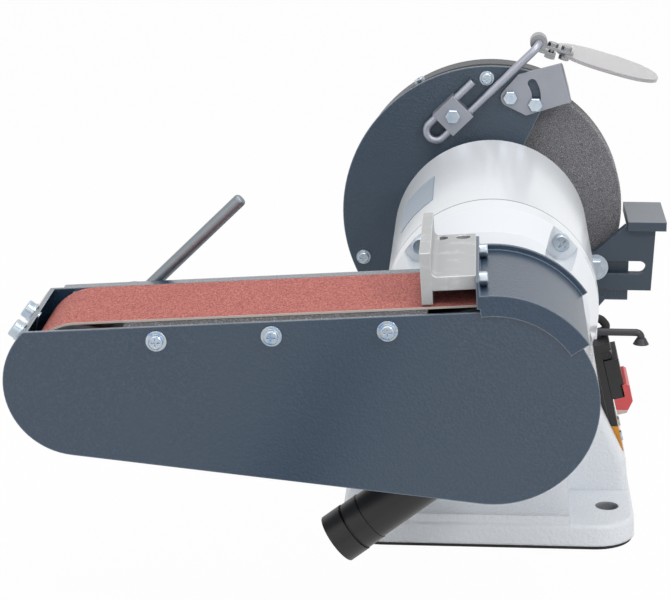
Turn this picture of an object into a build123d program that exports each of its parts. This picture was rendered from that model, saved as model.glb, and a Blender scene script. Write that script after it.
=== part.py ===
"""Bench grinder with a belt sanding arm: a grinding wheel in a guard on one end of
the motor shaft and a tilting belt unit on the other.  Millimetres, +Z up.
+X is the operator's side and +Y runs along the shaft from the belt to the wheel.
The origin is the centre of the base on the surface it stands on."""
import os
from math import acos, asin, cos, degrees, pi, radians, sin, tan

from build123d import *

os.makedirs("parts", exist_ok=True)

# Fits and clearances
RUN_FIT = 0.05        # radial clearance of a shaft that turns in its bore
SLIDE_FIT = 0.3       # clearance of a face that slides past another
SEAT_FIT = 0.02       # radial clearance of a fixed round seat
HOLE_FIT = 0.4        # radial clearance round a screw shank

# Grinding wheel and sanding belt
WHEEL_R = 100.0
WHEEL_T = 25.0
WHEEL_EDGE = 1.5
BELT_LENGTH = 762.0
BELT_W = 75.0
BELT_T = 1.2
DRIVE_R = 55.0
IDLER_R = 32.4

# Motor
SHAFT_HEIGHT = 152.0
SHELL_R = 70.0
SHELL_WALL = 6.0
SHELL_L = 180.0
SHELL_AHEAD = 8.0
NEAR_BELL_L = 63.0
FAR_BELL_L = 66.0
BELL_WALL = 7.0
BELL_FACE_R = 50.0
SPIGOT_R = 36.0
SPIGOT_L = 34.0
SHAFT_END_R = 8.0
SHAFT_MID_R = 12.0
BEARING_BORE_R = 8.5
BEARING_R = 20.0
BEARING_W = 12.0
STATOR_L = 90.0
STATOR_DEPTH = 27.0
ROTOR_R = SHELL_R - SHELL_WALL - STATOR_DEPTH
AIR_GAP = 0.5
WINDING_L = 22.0
WINDING_GAP = 4.0
BELL_BOLT_INSET = 6.0
BELL_BOLT_RING = SHELL_R - BELL_BOLT_INSET
BELL_BOLT_COUNT = 4
BELL_POCKET_R = 11.3
BELL_POCKET_DEPTH = 45.0
FAR_BOLT_INSET = 14.0
FAR_BOLT_RING = SHELL_R - FAR_BOLT_INSET
FAR_BOLT_GRIP = 12.0
FAR_POCKET_R = 8.5
FAR_POCKET_DEPTH = 30.0
POCKET_WALL = 3.0
BELL_BOLT_ANGLE = 47.0
BELL_BOLT_GRIP = 16.0
BELL_WASHER_R = 5.6
BELL_CROWN_L = 18.0
BELL_CROWN_DROP = 0.8
BELL_SHOULDER_IN = 11.0
BELL_SHOULDER_DROP = 8.0
FAR_CROWN_L = 25.0
FAR_CROWN_DROP = 5.5
FAR_SHOULDER_DROP = 12.0
LUG_R = 5.5
LUG_L = 22.0
FAR_LUG_R = 9.5
FAR_LUG_L = 14.0
NEAR_BEARING_IN = 2.0
FAR_BEARING_IN = 8.0
BEARING_BACK = 4.0
SHAFT_HOLE_R = 15.0
SHAFT_NUT_AF = 24.0
SHAFT_NUT_H = 9.0
SHAFT_TIP = 0.8
FLANGE_SLEEVE_R = 12.8

# Drive wheel and idler
WHEEL_OVER = 0.5
TYRE_T = 3.0
DRIVE_RIM_T = 6.0
DRIVE_WEB_T = 10.0
DRIVE_HUB_R = 20.0
DRIVE_HUB_IN = 22.0
DRIVE_SLEEVE_R = 11.5
IDLER_RIM_T = 5.4
IDLER_WEB_T = 10.0
IDLER_HUB_T = 5.0
IDLER_BEARING_R = 15.0
IDLER_BEARING_W = 9.0
AXLE_HEAD_R = 8.0
AXLE_HEAD_T = 4.0
AXLE_COLLAR_R = 9.0

# Base
BASE_X = 194.0
BASE_Y = 302.0
BASE_CORNER = 28.0
PAD_T = 2.6
PAD_IN = 1.5
FOOT_H = 14.0
FOOT_EDGE = 2.5
BASE_WALL = 6.0
COLUMN_FOOT = (193.0, 168.0)
COLUMN_KNEE = (186.0, 167.0)
COLUMN_KNEE_Z = 37.0
COLUMN_WAIST_OVER = 6.0
COLUMN_WAIST = (2 * (SHELL_R + COLUMN_WAIST_OVER), 165.0)
COLUMN_WAIST_BELOW = 10.0
COLUMN_TOP_Y = 164.0
COLUMN_TOP_BELOW = 35.0
COLUMN_TOP_EDGE = 1.1
COLUMN_CORNER = 7.0
CAVITY_CORNER = 3.0
RAMP_W = 106.0
RAMP_CURVE = ((149.0, 23.0), (105.0, 32.0), (90.0, 48.0), (80.0, 62.0))
BASE_HOLE_R = 7.5
BASE_HOLE_X = 79.0
BASE_HOLE_Y = 113.0

# Belt arm
ARM_TILT = 1.76
COVER_T = 2.0
TRAY_T = 2.5
BAND_T = 2.0
BELT_GAP = 0.3
BELT_SIDE = 9.0
COVER_OVER_DRIVE = 6.0
COVER_OVER_IDLER = 11.1
COVER_DRIVE_R = DRIVE_R + COVER_OVER_DRIVE
COVER_IDLER_R = IDLER_R + COVER_OVER_IDLER
COVER_DROP = 1.2
TRAY_LIP = 6.0
HUB_T = 14.0
HUB_FLANGE_R = 52.0
HUB_R = 48.0
PLATEN_T = 4.0
PLATEN_PAD_T = 2.0
PLATEN_FLANGE = 17.0
HUB_FLANGE_T = 8.0
HUB_CLEAR = 7.0
HUB_SLIT = 4.0
HUB_LUG_W = 40.0
HUB_LUG_DROP = 16.0
HUB_LUG_L = 24.0
HUB_SCREW_RING = 44.0
HUB_SCREW_COUNT = 4
HUB_SCREW_ANGLE = 45.0
PLATEN_START = 35.0
PLATEN_END = 29.0
PLATEN_OVER = 3.0
PAD_CLEAR = 0.1
PLATEN_SCREW_FIRST = 60.0
PLATEN_SCREW_PITCH = 65.0
END_SCREW_ANGLE = 144.0
END_SCREW_IN = (16.0, 55.0)
END_WASHER_R = 6.0
COVER_WASHER_R = 6.0
COVER_SCREW_FIRST = 58.0
COVER_SCREW_PITCH = 66.3
COVER_SCREW_COUNT = 3
COVER_SCREW_DROP = 9.6

# Tension carriage and lever
AXLE_R = 5.0
CARRIAGE_T = 5.0
CARRIAGE_TRAVEL = 6.4
LEVER_TURN = 80.0
LEVER_R = 4.0
LEVER_ANGLE = 44.5
LEVER_L = 95.0
LEVER_HUB_R = 11.0
LEVER_HUB_L = 17.0
LEVER_OUT = 11.0
LEVER_PIVOT_BACK = 17.3
LEVER_PIVOT_UP = 19.4
ECCENTRIC_R = 9.0
GUIDE_R = 4.0
GUIDE_HEAD_R = 7.0
GUIDE_HEAD_T = 2.2
GUIDE_RIVET_R = 2.5
GUIDE_BACK_R = 4.5
GUIDE_BACK_T = 1.5
GUIDE_SPOTS = (25.0, 60.0)
GUIDE_DROP = 9.0
CARRIAGE_BACK = 18.0
CARRIAGE_FRONT = 75.0
CARRIAGE_LOW = 16.0
CARRIAGE_HIGH = 28.0
LEVER_PIN_R = 4.0
SPRING_R = 2.4
SPRING_WALL = 0.8
SPRING_L = 34.0
SPRING_LUG_T = 8.0
SPRING_LUG_W = 12.0
SPRING_LUG_OUT = 7.0

# Curved guard over the drive wheel and the work stop
HOOD_OVER = 4.5
HOOD_R = COVER_DRIVE_R + HOOD_OVER
HOOD_T = 2.0
HOOD_SKIRT = 12.5
HOOD_LIP = 3.5
HOOD_HUB_GAP = 1.0
HOOD_END = 35.0
STOP_GAP = 1.2
STOP_H = 30.5
STOP_T = 6.4
STOP_WEB = 25.0
STOP_WEB_T = 8.2
STOP_WEB_UP = 0.2
STOP_L = 95.0
STOP_X = -38.2
STOP_HOLE_R = 4.5
STOP_HOLE_EDGE = 7.5
STOP_HOLE_FIRST = 10.3
STOP_HOLE_PITCH = 13.5
STOP_IN = 0.7
STOP_SCREW_IN = (18.5, 80.5)
STOP_SCREW_L = 14.0

# Dust outlet
PORT_R = 15.0
PORT_BORE_R = 13.0
PORT_ANGLE = 37.8
PORT_X = -29.0
PORT_ROOT = 55.0
PORT_L = 80.0
PORT_SINK = 20.0
GROOVE_L = 1.4
GROOVE_DEPTH = 1.2
SLEEVE_R = 15.4
ADAPTER_L = 25.0
ADAPTER_R = 15.8
COLLAR_L = 13.0

# Wheel guard
GUARD_R = 109.0
GUARD_T = 2.5
GUARD_LIP = 3.0
BAND_WALL = 1.8
BAND_DEPTH = 26.0
BAND_INSET = 0.4
GUARD_COVER_DEPTH = 56.0
GUARD_OPEN_TOP = 65.0
GUARD_OPEN_LOW = -24.0
GUARD_HUB_R = 52.0
GUARD_BORE_R = 22.0
GUARD_TAB_X = (60.0, 106.0)
GUARD_TAB_Z = (-68.0, -36.0)
GUARD_EAR_W = 18.0
GUARD_EAR_IN = 16.0
GUARD_WASHER_R = 5.4
GUARD_RIM_L = 38.0
GUARD_RIM_ANGLES = (120.0, 200.0, 280.0)
GUARD_RIM_SCREW_IN = 5.0
GUARD_PLATE_RING = 42.0
GUARD_PLATE_COUNT = 3
GUARD_PLATE_ANGLE = 30.0
GUARD_SCREW_L = 9.0
GUARD_SCREW_RING = 103.0
GUARD_SCREW_ANGLES = (92.5, 201.0, 300.0)
WHEEL_STANDOFF = 15.0
FLANGE_R = 38.0
FLANGE_T = 6.0

# Tool rest
REST_GAP = 3.5
REST_X = 29.0
REST_Y = 64.0
REST_T = 7.0
REST_DROP = 3.0
REST_PLATE_T = 8.0
REST_FRONT = 14.0
REST_OUTLINE = ((102.2, -7.8), (79.4, -28.2), (58.0, -36.0), (58.0, -58.0), (122.9, -58.0), (125.0, -8.0))
REST_WASHER_R = 10.0
REST_NUT_H = 6.5
REST_BOLT_X = 80.0
REST_BOLT_Z = -40.0
REST_SLOT_R = 5.0
REST_OUT = 10.0
REST_SLOT = (REST_BOLT_X - REST_OUT, 113.6)

# Spark arrester
ARRESTER_T = 2.5
ARRESTER_PIVOT = (13.2, 88.8)
ARRESTER_BOLT_ANGLE = -15.2
ARRESTER_BOLT_RADIUS = 19.5
ARRESTER_SLOT_R = 3.3
ARRESTER_FLANGE = 46.0
ARRESTER_TIP_R = 7.0
ARRESTER_OUTLINE = ((25.4, 75.2), (59.2, 86.0), (51.0, 115.0), (18.8, 106.3))
ARRESTER_FLANGE_SPAN = (3.0, 21.0)
ARRESTER_FOLD_R = 2.2
ARRESTER_SLOT_TO = 34.0
ARRESTER_LIFT = 4.0

# Eye shield
ROD_R = 3.0
ROD_SPACING = 14.6
ROD_ANGLE = 45.0
CLAMP_OVER = 6.0
CLAMP_AT = (-29.3, SHELL_R + CLAMP_OVER)
CLAMP_SIZE = 21.0
CLAMP_W = 22.0
CLAMP_T = 12.6
ROD_SHORT = 28.0
ROD_LONG = 82.0
ROD_BACK = 17.4
ROD_BEND_R = 8.0
ROD_END = 26.0
SHIELD_RING_R = 6.5
SHIELD_RING_L = 12.0
SHIELD_RING_GAP = 2.0
SHIELD_STRIP_T = 2.2
SHIELD_STRIP_L = 27.0
SHIELD_EAR_L = 14.5
SHIELD_PINCH = 11.0
SHIELD_BOLT = 21.5
SHIELD_START = 15.0
SHIELD_CORNER = 34.0
SHIELD_TILT = 16.0
SHIELD_LENGTH = 80.0
SHIELD_WIDTH = 76.0
SHIELD_T = 2.5

# Switch in a flat seat on the sloping front of the base
SWITCH_Y = -50.0
SWITCH_BELOW = 5.0
SWITCH_Z = SHAFT_HEIGHT - SHELL_R - SWITCH_BELOW
SWITCH_SLOPE = 14.0
SWITCH_SINK = 1.0
SWITCH_RIM = 8.0
SWITCH_SEAT_GAP = 1.5
SWITCH_PLATE_W = 40.0
SWITCH_PLATE_UP = (-40.0, 38.0)
SWITCH_PLATE_T = 4.0
SWITCH_BODY_W = 40.0
SWITCH_BODY_UP = (-21.0, 37.0)
SWITCH_BODY_T = 5.0
SWITCH_SCREW_PITCH = 30.0
FLAP_T = 9.7
FLAP_SKIN = 2.2
FLAP_LOW = -2.5
FLAP_STEP = 2.3
FLAP_STEP_UP = 6.6
HINGE_R = 3.2
HINGE_PIN_R = 1.6
HINGE_END = 8.0
HINGE_L = SWITCH_BODY_W - 2 * HINGE_END
HINGE_LUG_T = 6.0
HINGE_UP = 28.5
PADDLE_UP = (-14.0, 6.0)
PADDLE_T = 4.5
PADDLE_EDGE = 1.5
PADDLE_CHIN = 7.4
PADDLE_TRAVEL = 1.0
PADDLE_TONGUE = (24.0, 2.0)
PADDLE_HOOK = (28.0, 3.5)
BUTTON_R = 6.5
BUTTON_PITCH = 18.0
BUTTON_UP = 12.0
BUTTON_RISE = 0.8
BUTTON_FLOOR = 1.0
BUTTON_TRAVEL = 1.5

# Lamp and cable
LAMP_R = 2.4
LAMP_Y = -88.0
LAMP_BELOW = 22.0
LAMP_Z = SHAFT_HEIGHT - LAMP_BELOW
LAMP_REACH = 32.9
LAMP_BELL_R = 5.3
LAMP_BELL_L = 4.0
LAMP_NECK_R = 3.1
LAMP_BEND_R = 3.6
LAMP_DROP = 5.8
LAMP_SOCKET_R = 5.0
LAMP_SOCKET_X = SHELL_R
LAMP_PLUG_L = 5.0
LAMP_LENS_R = 4.4
LAMP_LENS_T = 1.5
GLAND_R = 3.6
GLAND_L = 7.0
GLAND_OUT = 2.5
GLAND_LEVEL = 46.0
GLAND_DROP = SHELL_R - GLAND_LEVEL
GLAND_X = (SHELL_R**2 - GLAND_DROP**2) ** 0.5 + GLAND_OUT
GLAND_RISE = 2.5
INLET_R = 8.0
INLET_L = 14.0
INLET_BORE_R = 4.0
INLET_Y = 60.0
INLET_Z = 40.0
CABLE_R = 2.8
CABLE_OUT = (6.2, 10.7)
CABLE_FALL = 5.5

# Fasteners, as head diameter, head height, shank radius
M4_LOW = (7.0, 1.4, 2.0)
M4_HEX = (7.0, 2.9, 2.0)
M5_PAN = (8.3, 3.6, 2.5)
M6_PAN = (11.0, 4.5, 3.0)
M5_CAP = (8.5, 5.0, 2.5)
M6_HEX = (10.0, 4.0, 3.0)
M8_HEX = (13.0, 5.3, 4.0)
WASHER_T = 1.4

# Places along the shaft
SHELL_NEAR = -SHELL_L / 2 - SHELL_AHEAD
SHELL_FAR = SHELL_L / 2 - SHELL_AHEAD
NEAR_FACE = SHELL_NEAR - NEAR_BELL_L
SPIGOT_END = NEAR_FACE - SPIGOT_L
TRAY_BACK = SPIGOT_END - HUB_T
TRAY_FRONT = TRAY_BACK - TRAY_T
BELT_FAR = TRAY_FRONT - BELT_SIDE
BELT_NEAR = BELT_FAR - BELT_W
COVER_BACK = BELT_NEAR - BELT_SIDE
COVER_FRONT = COVER_BACK - COVER_T
FAR_FACE = SHELL_FAR + FAR_BELL_L
GUARD_BACK = FAR_FACE + GUARD_T
WHEEL_NEAR = FAR_FACE + WHEEL_STANDOFF
WHEEL_FAR = WHEEL_NEAR + WHEEL_T
GUARD_FAR = GUARD_BACK + GUARD_COVER_DEPTH

# Belt loop: the wheel distance follows from the belt's length
belt_drive_r = DRIVE_R + BELT_GAP + BELT_T
belt_idler_r = IDLER_R + BELT_GAP + BELT_T
mid_sum = belt_drive_r + belt_idler_r - BELT_T
mid_step = belt_drive_r - belt_idler_r
ARM_L = BELT_LENGTH / 3
for repeat in range(30):
    wrap = asin(mid_step / ARM_L)
    ARM_L = (BELT_LENGTH - pi * mid_sum - 2 * wrap * mid_step) / (2 * cos(wrap))
RUN_ANGLE = degrees(wrap)
RUN_SLOPE = RUN_ANGLE - ARM_TILT
BELT_TOP = belt_drive_r
RUN_L = ARM_L * cos(wrap)

SHAFT_AXIS = Axis((0, 0, SHAFT_HEIGHT), (0, 1, 0))
axial = Plane(origin=(0, 0, SHAFT_HEIGHT), x_dir=(0, 1, 0), z_dir=(1, 0, 0))


def face(y, slope=0.0):
    """Plane square to the shaft at y, seen from the belt end, x rising by slope degrees."""
    return Plane(
        origin=(0, y, SHAFT_HEIGHT),
        x_dir=(cos(radians(slope)), 0, sin(radians(slope))),
        z_dir=(0, -1, 0),
    )


def arm_face(y):
    """Plane whose x axis runs along the arm from the idler to the shaft."""
    return face(y, -ARM_TILT)


def run_face(y):
    """Plane whose x axis runs along the belt's upper run."""
    return face(y, RUN_SLOPE)


def polar(radius, angle):
    return (radius * cos(radians(angle)), radius * sin(radians(angle)))


def screw(size, length, washer_r=0.0, recess="none"):
    """Screw along +Z, its head on top of z = 0, with a washer under the head if it has one."""
    head_d, head_h, shank_r = size
    lift = WASHER_T if washer_r else 0.0
    with BuildPart() as body:
        with BuildSketch(Plane.XY.offset(-length)):
            Circle(shank_r)
        extrude(amount=length + lift)
        with BuildSketch(Plane.XY.offset(lift)):
            if recess == "hex_head":
                RegularPolygon(head_d / 2, 6, major_radius=False)
            else:
                Circle(head_d / 2)
        extrude(amount=head_h)
        top = body.faces().sort_by(Axis.Z)[-1]
        chamfer(top.edges(), head_h * 0.16)
        if recess == "socket":
            with BuildSketch(Plane.XY.offset(lift + head_h)):
                RegularPolygon(shank_r * 0.8, 6, major_radius=False)
            extrude(amount=-head_h * 0.55, mode=Mode.SUBTRACT)
        if recess == "cross":
            with BuildSketch(Plane.XY.offset(lift + head_h)):
                Rectangle(head_d * 0.62, head_d * 0.13)
                Rectangle(head_d * 0.13, head_d * 0.62)
            extrude(amount=-head_h * 0.45, mode=Mode.SUBTRACT)
        if washer_r:
            with BuildSketch():
                Circle(washer_r)
            extrude(amount=lift)
    return body.part


def save(builder, name):
    builder.part.label = name
    export_step(builder.part, f"parts/{name}.step")


# Base casting: foot with four bolting pads, ramps between them, and a column for the motor
foot_top = PAD_T + FOOT_H
waist_z = SHAFT_HEIGHT - SHELL_R - COLUMN_WAIST_BELOW
column_top_x = 2 * ((SHELL_R**2 - COLUMN_TOP_BELOW**2) ** 0.5 + COLUMN_TOP_EDGE)
column = [
    (PAD_T, *COLUMN_FOOT),
    (COLUMN_KNEE_Z, *COLUMN_KNEE),
    (waist_z, *COLUMN_WAIST),
    (SHAFT_HEIGHT - COLUMN_TOP_BELOW, column_top_x, COLUMN_TOP_Y),
]


def column_half(z):
    """Half the column's width at a height."""
    for (low, foot, _), (high, top, _) in zip(column, column[1:]):
        if z <= high:
            return (foot + (top - foot) * (z - low) / (high - low)) / 2


switch_plane = Plane(
    origin=(column_half(SWITCH_Z) - SWITCH_SINK, SWITCH_Y, SWITCH_Z),
    x_dir=(0, 1, 0),
    z_dir=(cos(radians(SWITCH_SLOPE)), 0, sin(radians(SWITCH_SLOPE))),
)


def switch_block(width, low, high, edge=0.0):
    """Rectangle of the open switch sketch, between two heights and wider by an edge all round."""
    with Locations((0, (low + high) / 2)):
        Rectangle(width + 2 * edge, high - low + 2 * edge)


with BuildPart() as base_hollow:
    for height, wide, long in column[:-1]:
        with BuildSketch(Plane.XY.offset(height)):
            RectangleRounded(wide - 2 * BASE_WALL, long - 2 * BASE_WALL, CAVITY_CORNER)
    loft(ruled=True)
    with BuildSketch(switch_plane.offset(-BASE_WALL)):
        switch_block(SWITCH_PLATE_W, *SWITCH_PLATE_UP, SWITCH_SEAT_GAP + SWITCH_RIM)
    extrude(amount=BASE_X, mode=Mode.SUBTRACT)

with BuildPart() as base_casting:
    with BuildSketch(Plane.XY.offset(PAD_T)):
        RectangleRounded(BASE_X, BASE_Y, BASE_CORNER)
    extrude(amount=FOOT_H, taper=3)
    fillet(base_casting.faces().sort_by(Axis.Z)[-1].edges(), FOOT_EDGE)
    for side in (-1, 1):
        curve = [(side * along, height) for along, height in RAMP_CURVE]
        with BuildSketch(Plane.YZ):
            with BuildLine():
                Spline(*curve)
                Polyline(curve[-1], (curve[-1][0], PAD_T), (curve[0][0], PAD_T), curve[0])
            make_face()
        extrude(amount=RAMP_W / 2, both=True)
    for height, wide, long in column:
        with BuildSketch(Plane.XY.offset(height)):
            RectangleRounded(wide, long, COLUMN_CORNER)
    loft(ruled=True)
    with BuildSketch(switch_plane):
        switch_block(SWITCH_PLATE_W, *SWITCH_PLATE_UP)
    extrude(amount=-BASE_WALL)
    add(base_hollow.part, mode=Mode.SUBTRACT)
    with BuildSketch(switch_plane):
        switch_block(SWITCH_PLATE_W, *SWITCH_PLATE_UP, SWITCH_SEAT_GAP)
    extrude(amount=BASE_X, mode=Mode.SUBTRACT)
    with BuildSketch(face(BASE_Y / 2)):
        Circle(SHELL_R + SEAT_FIT)
    extrude(amount=BASE_Y, mode=Mode.SUBTRACT)
    with BuildSketch(Plane.XY):
        with GridLocations(2 * BASE_HOLE_X, 2 * BASE_HOLE_Y, 2, 2):
            Circle(BASE_HOLE_R)
    extrude(amount=foot_top, mode=Mode.SUBTRACT)
save(base_casting, "base_casting")

with BuildPart() as base_pad:
    with BuildSketch():
        RectangleRounded(BASE_X - 2 * PAD_IN, BASE_Y - 2 * PAD_IN, BASE_CORNER - PAD_IN)
        with GridLocations(2 * BASE_HOLE_X, 2 * BASE_HOLE_Y, 2, 2):
            Circle(BASE_HOLE_R, mode=Mode.SUBTRACT)
    extrude(amount=PAD_T)
save(base_pad, "base_pad")


def section(y0, y1, inner, outer):
    """Rectangle of the open axial sketch, between two places and two radii."""
    with Locations(((y0 + y1) / 2, (inner + outer) / 2)):
        Rectangle(y1 - y0, outer - inner)


def turned(name, plane, axis, *rings):
    """Piece turned from rectangles, each given as near end, far end, inner and outer radius."""
    with BuildPart() as piece:
        with BuildSketch(plane):
            for ring in rings:
                section(*ring)
        revolve(axis=axis)
    save(piece, name)


def block(x0, x1, y0, y1):
    """Rectangle of the open sketch, between its corners."""
    with Locations(((x0 + x1) / 2, (y0 + y1) / 2)):
        Rectangle(x1 - x0, y1 - y0)


def ring_sector(inner, outer, start, end):
    """Ring between two angles, the first thing in the open sketch."""
    Circle(outer)
    Circle(inner, mode=Mode.SUBTRACT)
    reach = 3 * outer
    corners = [polar(reach, angle) for angle in (start, (start + end) / 2, end)]
    Polygon((0, 0), *corners, align=None, mode=Mode.INTERSECT)


def loop(drive_r, idler_r):
    """Outline round the drive wheel and the idler, the first thing in the open sketch."""
    Circle(drive_r)
    with Locations((-ARM_L, 0)):
        Circle(idler_r)
    make_hull()


def far_side(point):
    """Plane at a point that faces along the shaft towards the wheel."""
    return Plane(origin=point, x_dir=(-1, 0, 0), z_dir=(0, 1, 0))


def on_face(y, x, z):
    """Point at a place along the shaft, given from the shaft's axis."""
    return (x, y, SHAFT_HEIGHT + z)


# Motor: shell, stator, rotor and the shaft in its two bearings
bearing_near = NEAR_FACE - NEAR_BEARING_IN - BEARING_W
bearing_far = FAR_FACE - FAR_BEARING_IN - BEARING_W
tapped_m5 = M5_PAN[2] + SEAT_FIT
tapped_m6 = M6_PAN[2] + SEAT_FIT
shell_side = (SHELL_R**2 - (SHAFT_HEIGHT - LAMP_Z) ** 2) ** 0.5
with BuildPart() as motor_shell:
    with BuildSketch(face(SHELL_FAR)):
        Circle(SHELL_R)
    extrude(amount=SHELL_L)
    with BuildSketch(Plane(origin=(0, LAMP_Y, LAMP_Z), z_dir=(1, 0, 0))):
        Circle(LAMP_SOCKET_R)
    extrude(amount=LAMP_SOCKET_X)
    with BuildSketch(face(SHELL_FAR)):
        Circle(SHELL_R - SHELL_WALL)
    extrude(amount=SHELL_L, mode=Mode.SUBTRACT)
    with BuildSketch(face(SHELL_NEAR + LUG_L)):
        with PolarLocations(BELL_BOLT_RING, BELL_BOLT_COUNT, BELL_BOLT_ANGLE):
            Circle(LUG_R)
    extrude(amount=LUG_L)
    with BuildSketch(face(SHELL_NEAR + LUG_L)):
        with PolarLocations(BELL_BOLT_RING, BELL_BOLT_COUNT, BELL_BOLT_ANGLE):
            Circle(tapped_m6)
    extrude(amount=LUG_L, mode=Mode.SUBTRACT)
    with BuildSketch(face(SHELL_FAR)):
        with PolarLocations(FAR_BOLT_RING, BELL_BOLT_COUNT, BELL_BOLT_ANGLE):
            Circle(FAR_LUG_R)
            Circle(tapped_m6, mode=Mode.SUBTRACT)
    extrude(amount=FAR_LUG_L)
    with BuildSketch(Plane(origin=(LAMP_SOCKET_X, LAMP_Y, LAMP_Z), z_dir=(-1, 0, 0))):
        Circle(LAMP_R + RUN_FIT)
    extrude(amount=LAMP_PLUG_L + SLIDE_FIT, mode=Mode.SUBTRACT)
save(motor_shell, "motor_shell")

stator_half = STATOR_L / 2
turned("stator_core", axial, SHAFT_AXIS,
       (-stator_half, stator_half, ROTOR_R + AIR_GAP, SHELL_R - SHELL_WALL - SEAT_FIT))
turned("stator_windings", axial, SHAFT_AXIS,
       (-stator_half - WINDING_L, -stator_half, ROTOR_R + WINDING_GAP, BELL_BOLT_RING - LUG_R),
       (stator_half, stator_half + WINDING_L, ROTOR_R + WINDING_GAP, BELL_BOLT_RING - LUG_R))
turned("rotor_core", axial, SHAFT_AXIS,
       (-stator_half, stator_half, SHAFT_MID_R + SEAT_FIT, ROTOR_R))

drive_hub_near = BELT_NEAR + DRIVE_HUB_IN
shaft_near = drive_hub_near - SHAFT_NUT_H - SHAFT_TIP
wheel_nut_near = WHEEL_FAR + FLANGE_T
shaft_far = wheel_nut_near + SHAFT_NUT_H + SHAFT_TIP
turned("motor_shaft", axial, SHAFT_AXIS,
       (shaft_near, shaft_far, 0, SHAFT_END_R),
       (bearing_near, bearing_far + BEARING_W, 0, BEARING_BORE_R),
       (bearing_near + BEARING_W, bearing_far, 0, SHAFT_MID_R))
turned("motor_bearings", axial, SHAFT_AXIS,
       (bearing_near, bearing_near + BEARING_W, BEARING_BORE_R + RUN_FIT, BEARING_R),
       (bearing_far, bearing_far + BEARING_W, BEARING_BORE_R + RUN_FIT, BEARING_R))


# End bells
def bell_hollow(points, start, length, ring, pocket_r):
    """Hollow of an end bell, with solid posts left round the bolt pockets."""
    with BuildPart() as hollow:
        with BuildSketch(axial):
            with BuildLine():
                Polyline(*points, close=True)
            make_face()
        revolve(axis=SHAFT_AXIS)
        with BuildSketch(face(start)):
            with PolarLocations(ring, BELL_BOLT_COUNT, BELL_BOLT_ANGLE):
                Circle(pocket_r + POCKET_WALL)
        extrude(amount=length, mode=Mode.SUBTRACT)
    return hollow.part


near_inner = NEAR_FACE + BELL_WALL
near_floor = NEAR_FACE + BELL_POCKET_DEPTH
near_hollow = bell_hollow(
    [
        (SHELL_NEAR, 0),
        (SHELL_NEAR, SHELL_R - SHELL_WALL),
        (SHELL_NEAR - BELL_CROWN_L, SHELL_R - SHELL_WALL - BELL_CROWN_DROP),
        (NEAR_FACE + BELL_SHOULDER_IN + BELL_WALL / 2, SHELL_R - BELL_SHOULDER_DROP - BELL_WALL),
        (near_inner, BELL_FACE_R - BELL_WALL),
        (near_inner, 0),
    ],
    SHELL_NEAR,
    NEAR_BELL_L,
    BELL_BOLT_RING,
    BELL_POCKET_R,
)
with BuildPart() as near_bell:
    with BuildSketch(axial):
        with BuildLine():
            Polyline(
                (SHELL_NEAR, 0),
                (SHELL_NEAR, SHELL_R),
                (SHELL_NEAR - BELL_CROWN_L, SHELL_R - BELL_CROWN_DROP),
                (NEAR_FACE + BELL_SHOULDER_IN, SHELL_R - BELL_SHOULDER_DROP),
                (NEAR_FACE, BELL_FACE_R),
                (NEAR_FACE, SPIGOT_R),
                (SPIGOT_END, SPIGOT_R),
                (SPIGOT_END, 0),
                close=True,
            )
        make_face()
    revolve(axis=SHAFT_AXIS)
    add(near_hollow, mode=Mode.SUBTRACT)
    with BuildSketch(axial):
        section(bearing_near, near_inner, 0, BEARING_R + SEAT_FIT)
        section(SPIGOT_END, bearing_near, 0, SHAFT_HOLE_R)
    revolve(axis=SHAFT_AXIS, mode=Mode.SUBTRACT)
    with BuildSketch(face(near_floor)):
        with PolarLocations(BELL_BOLT_RING, BELL_BOLT_COUNT, BELL_BOLT_ANGLE):
            Circle(BELL_POCKET_R)
    extrude(amount=BELL_POCKET_DEPTH, mode=Mode.SUBTRACT)
    with BuildSketch(face(SHELL_NEAR)):
        with PolarLocations(BELL_BOLT_RING, BELL_BOLT_COUNT, BELL_BOLT_ANGLE):
            Circle(M6_PAN[2] + HOLE_FIT)
    extrude(amount=SHELL_NEAR - near_floor, mode=Mode.SUBTRACT)
save(near_bell, "near_bell")

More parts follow.
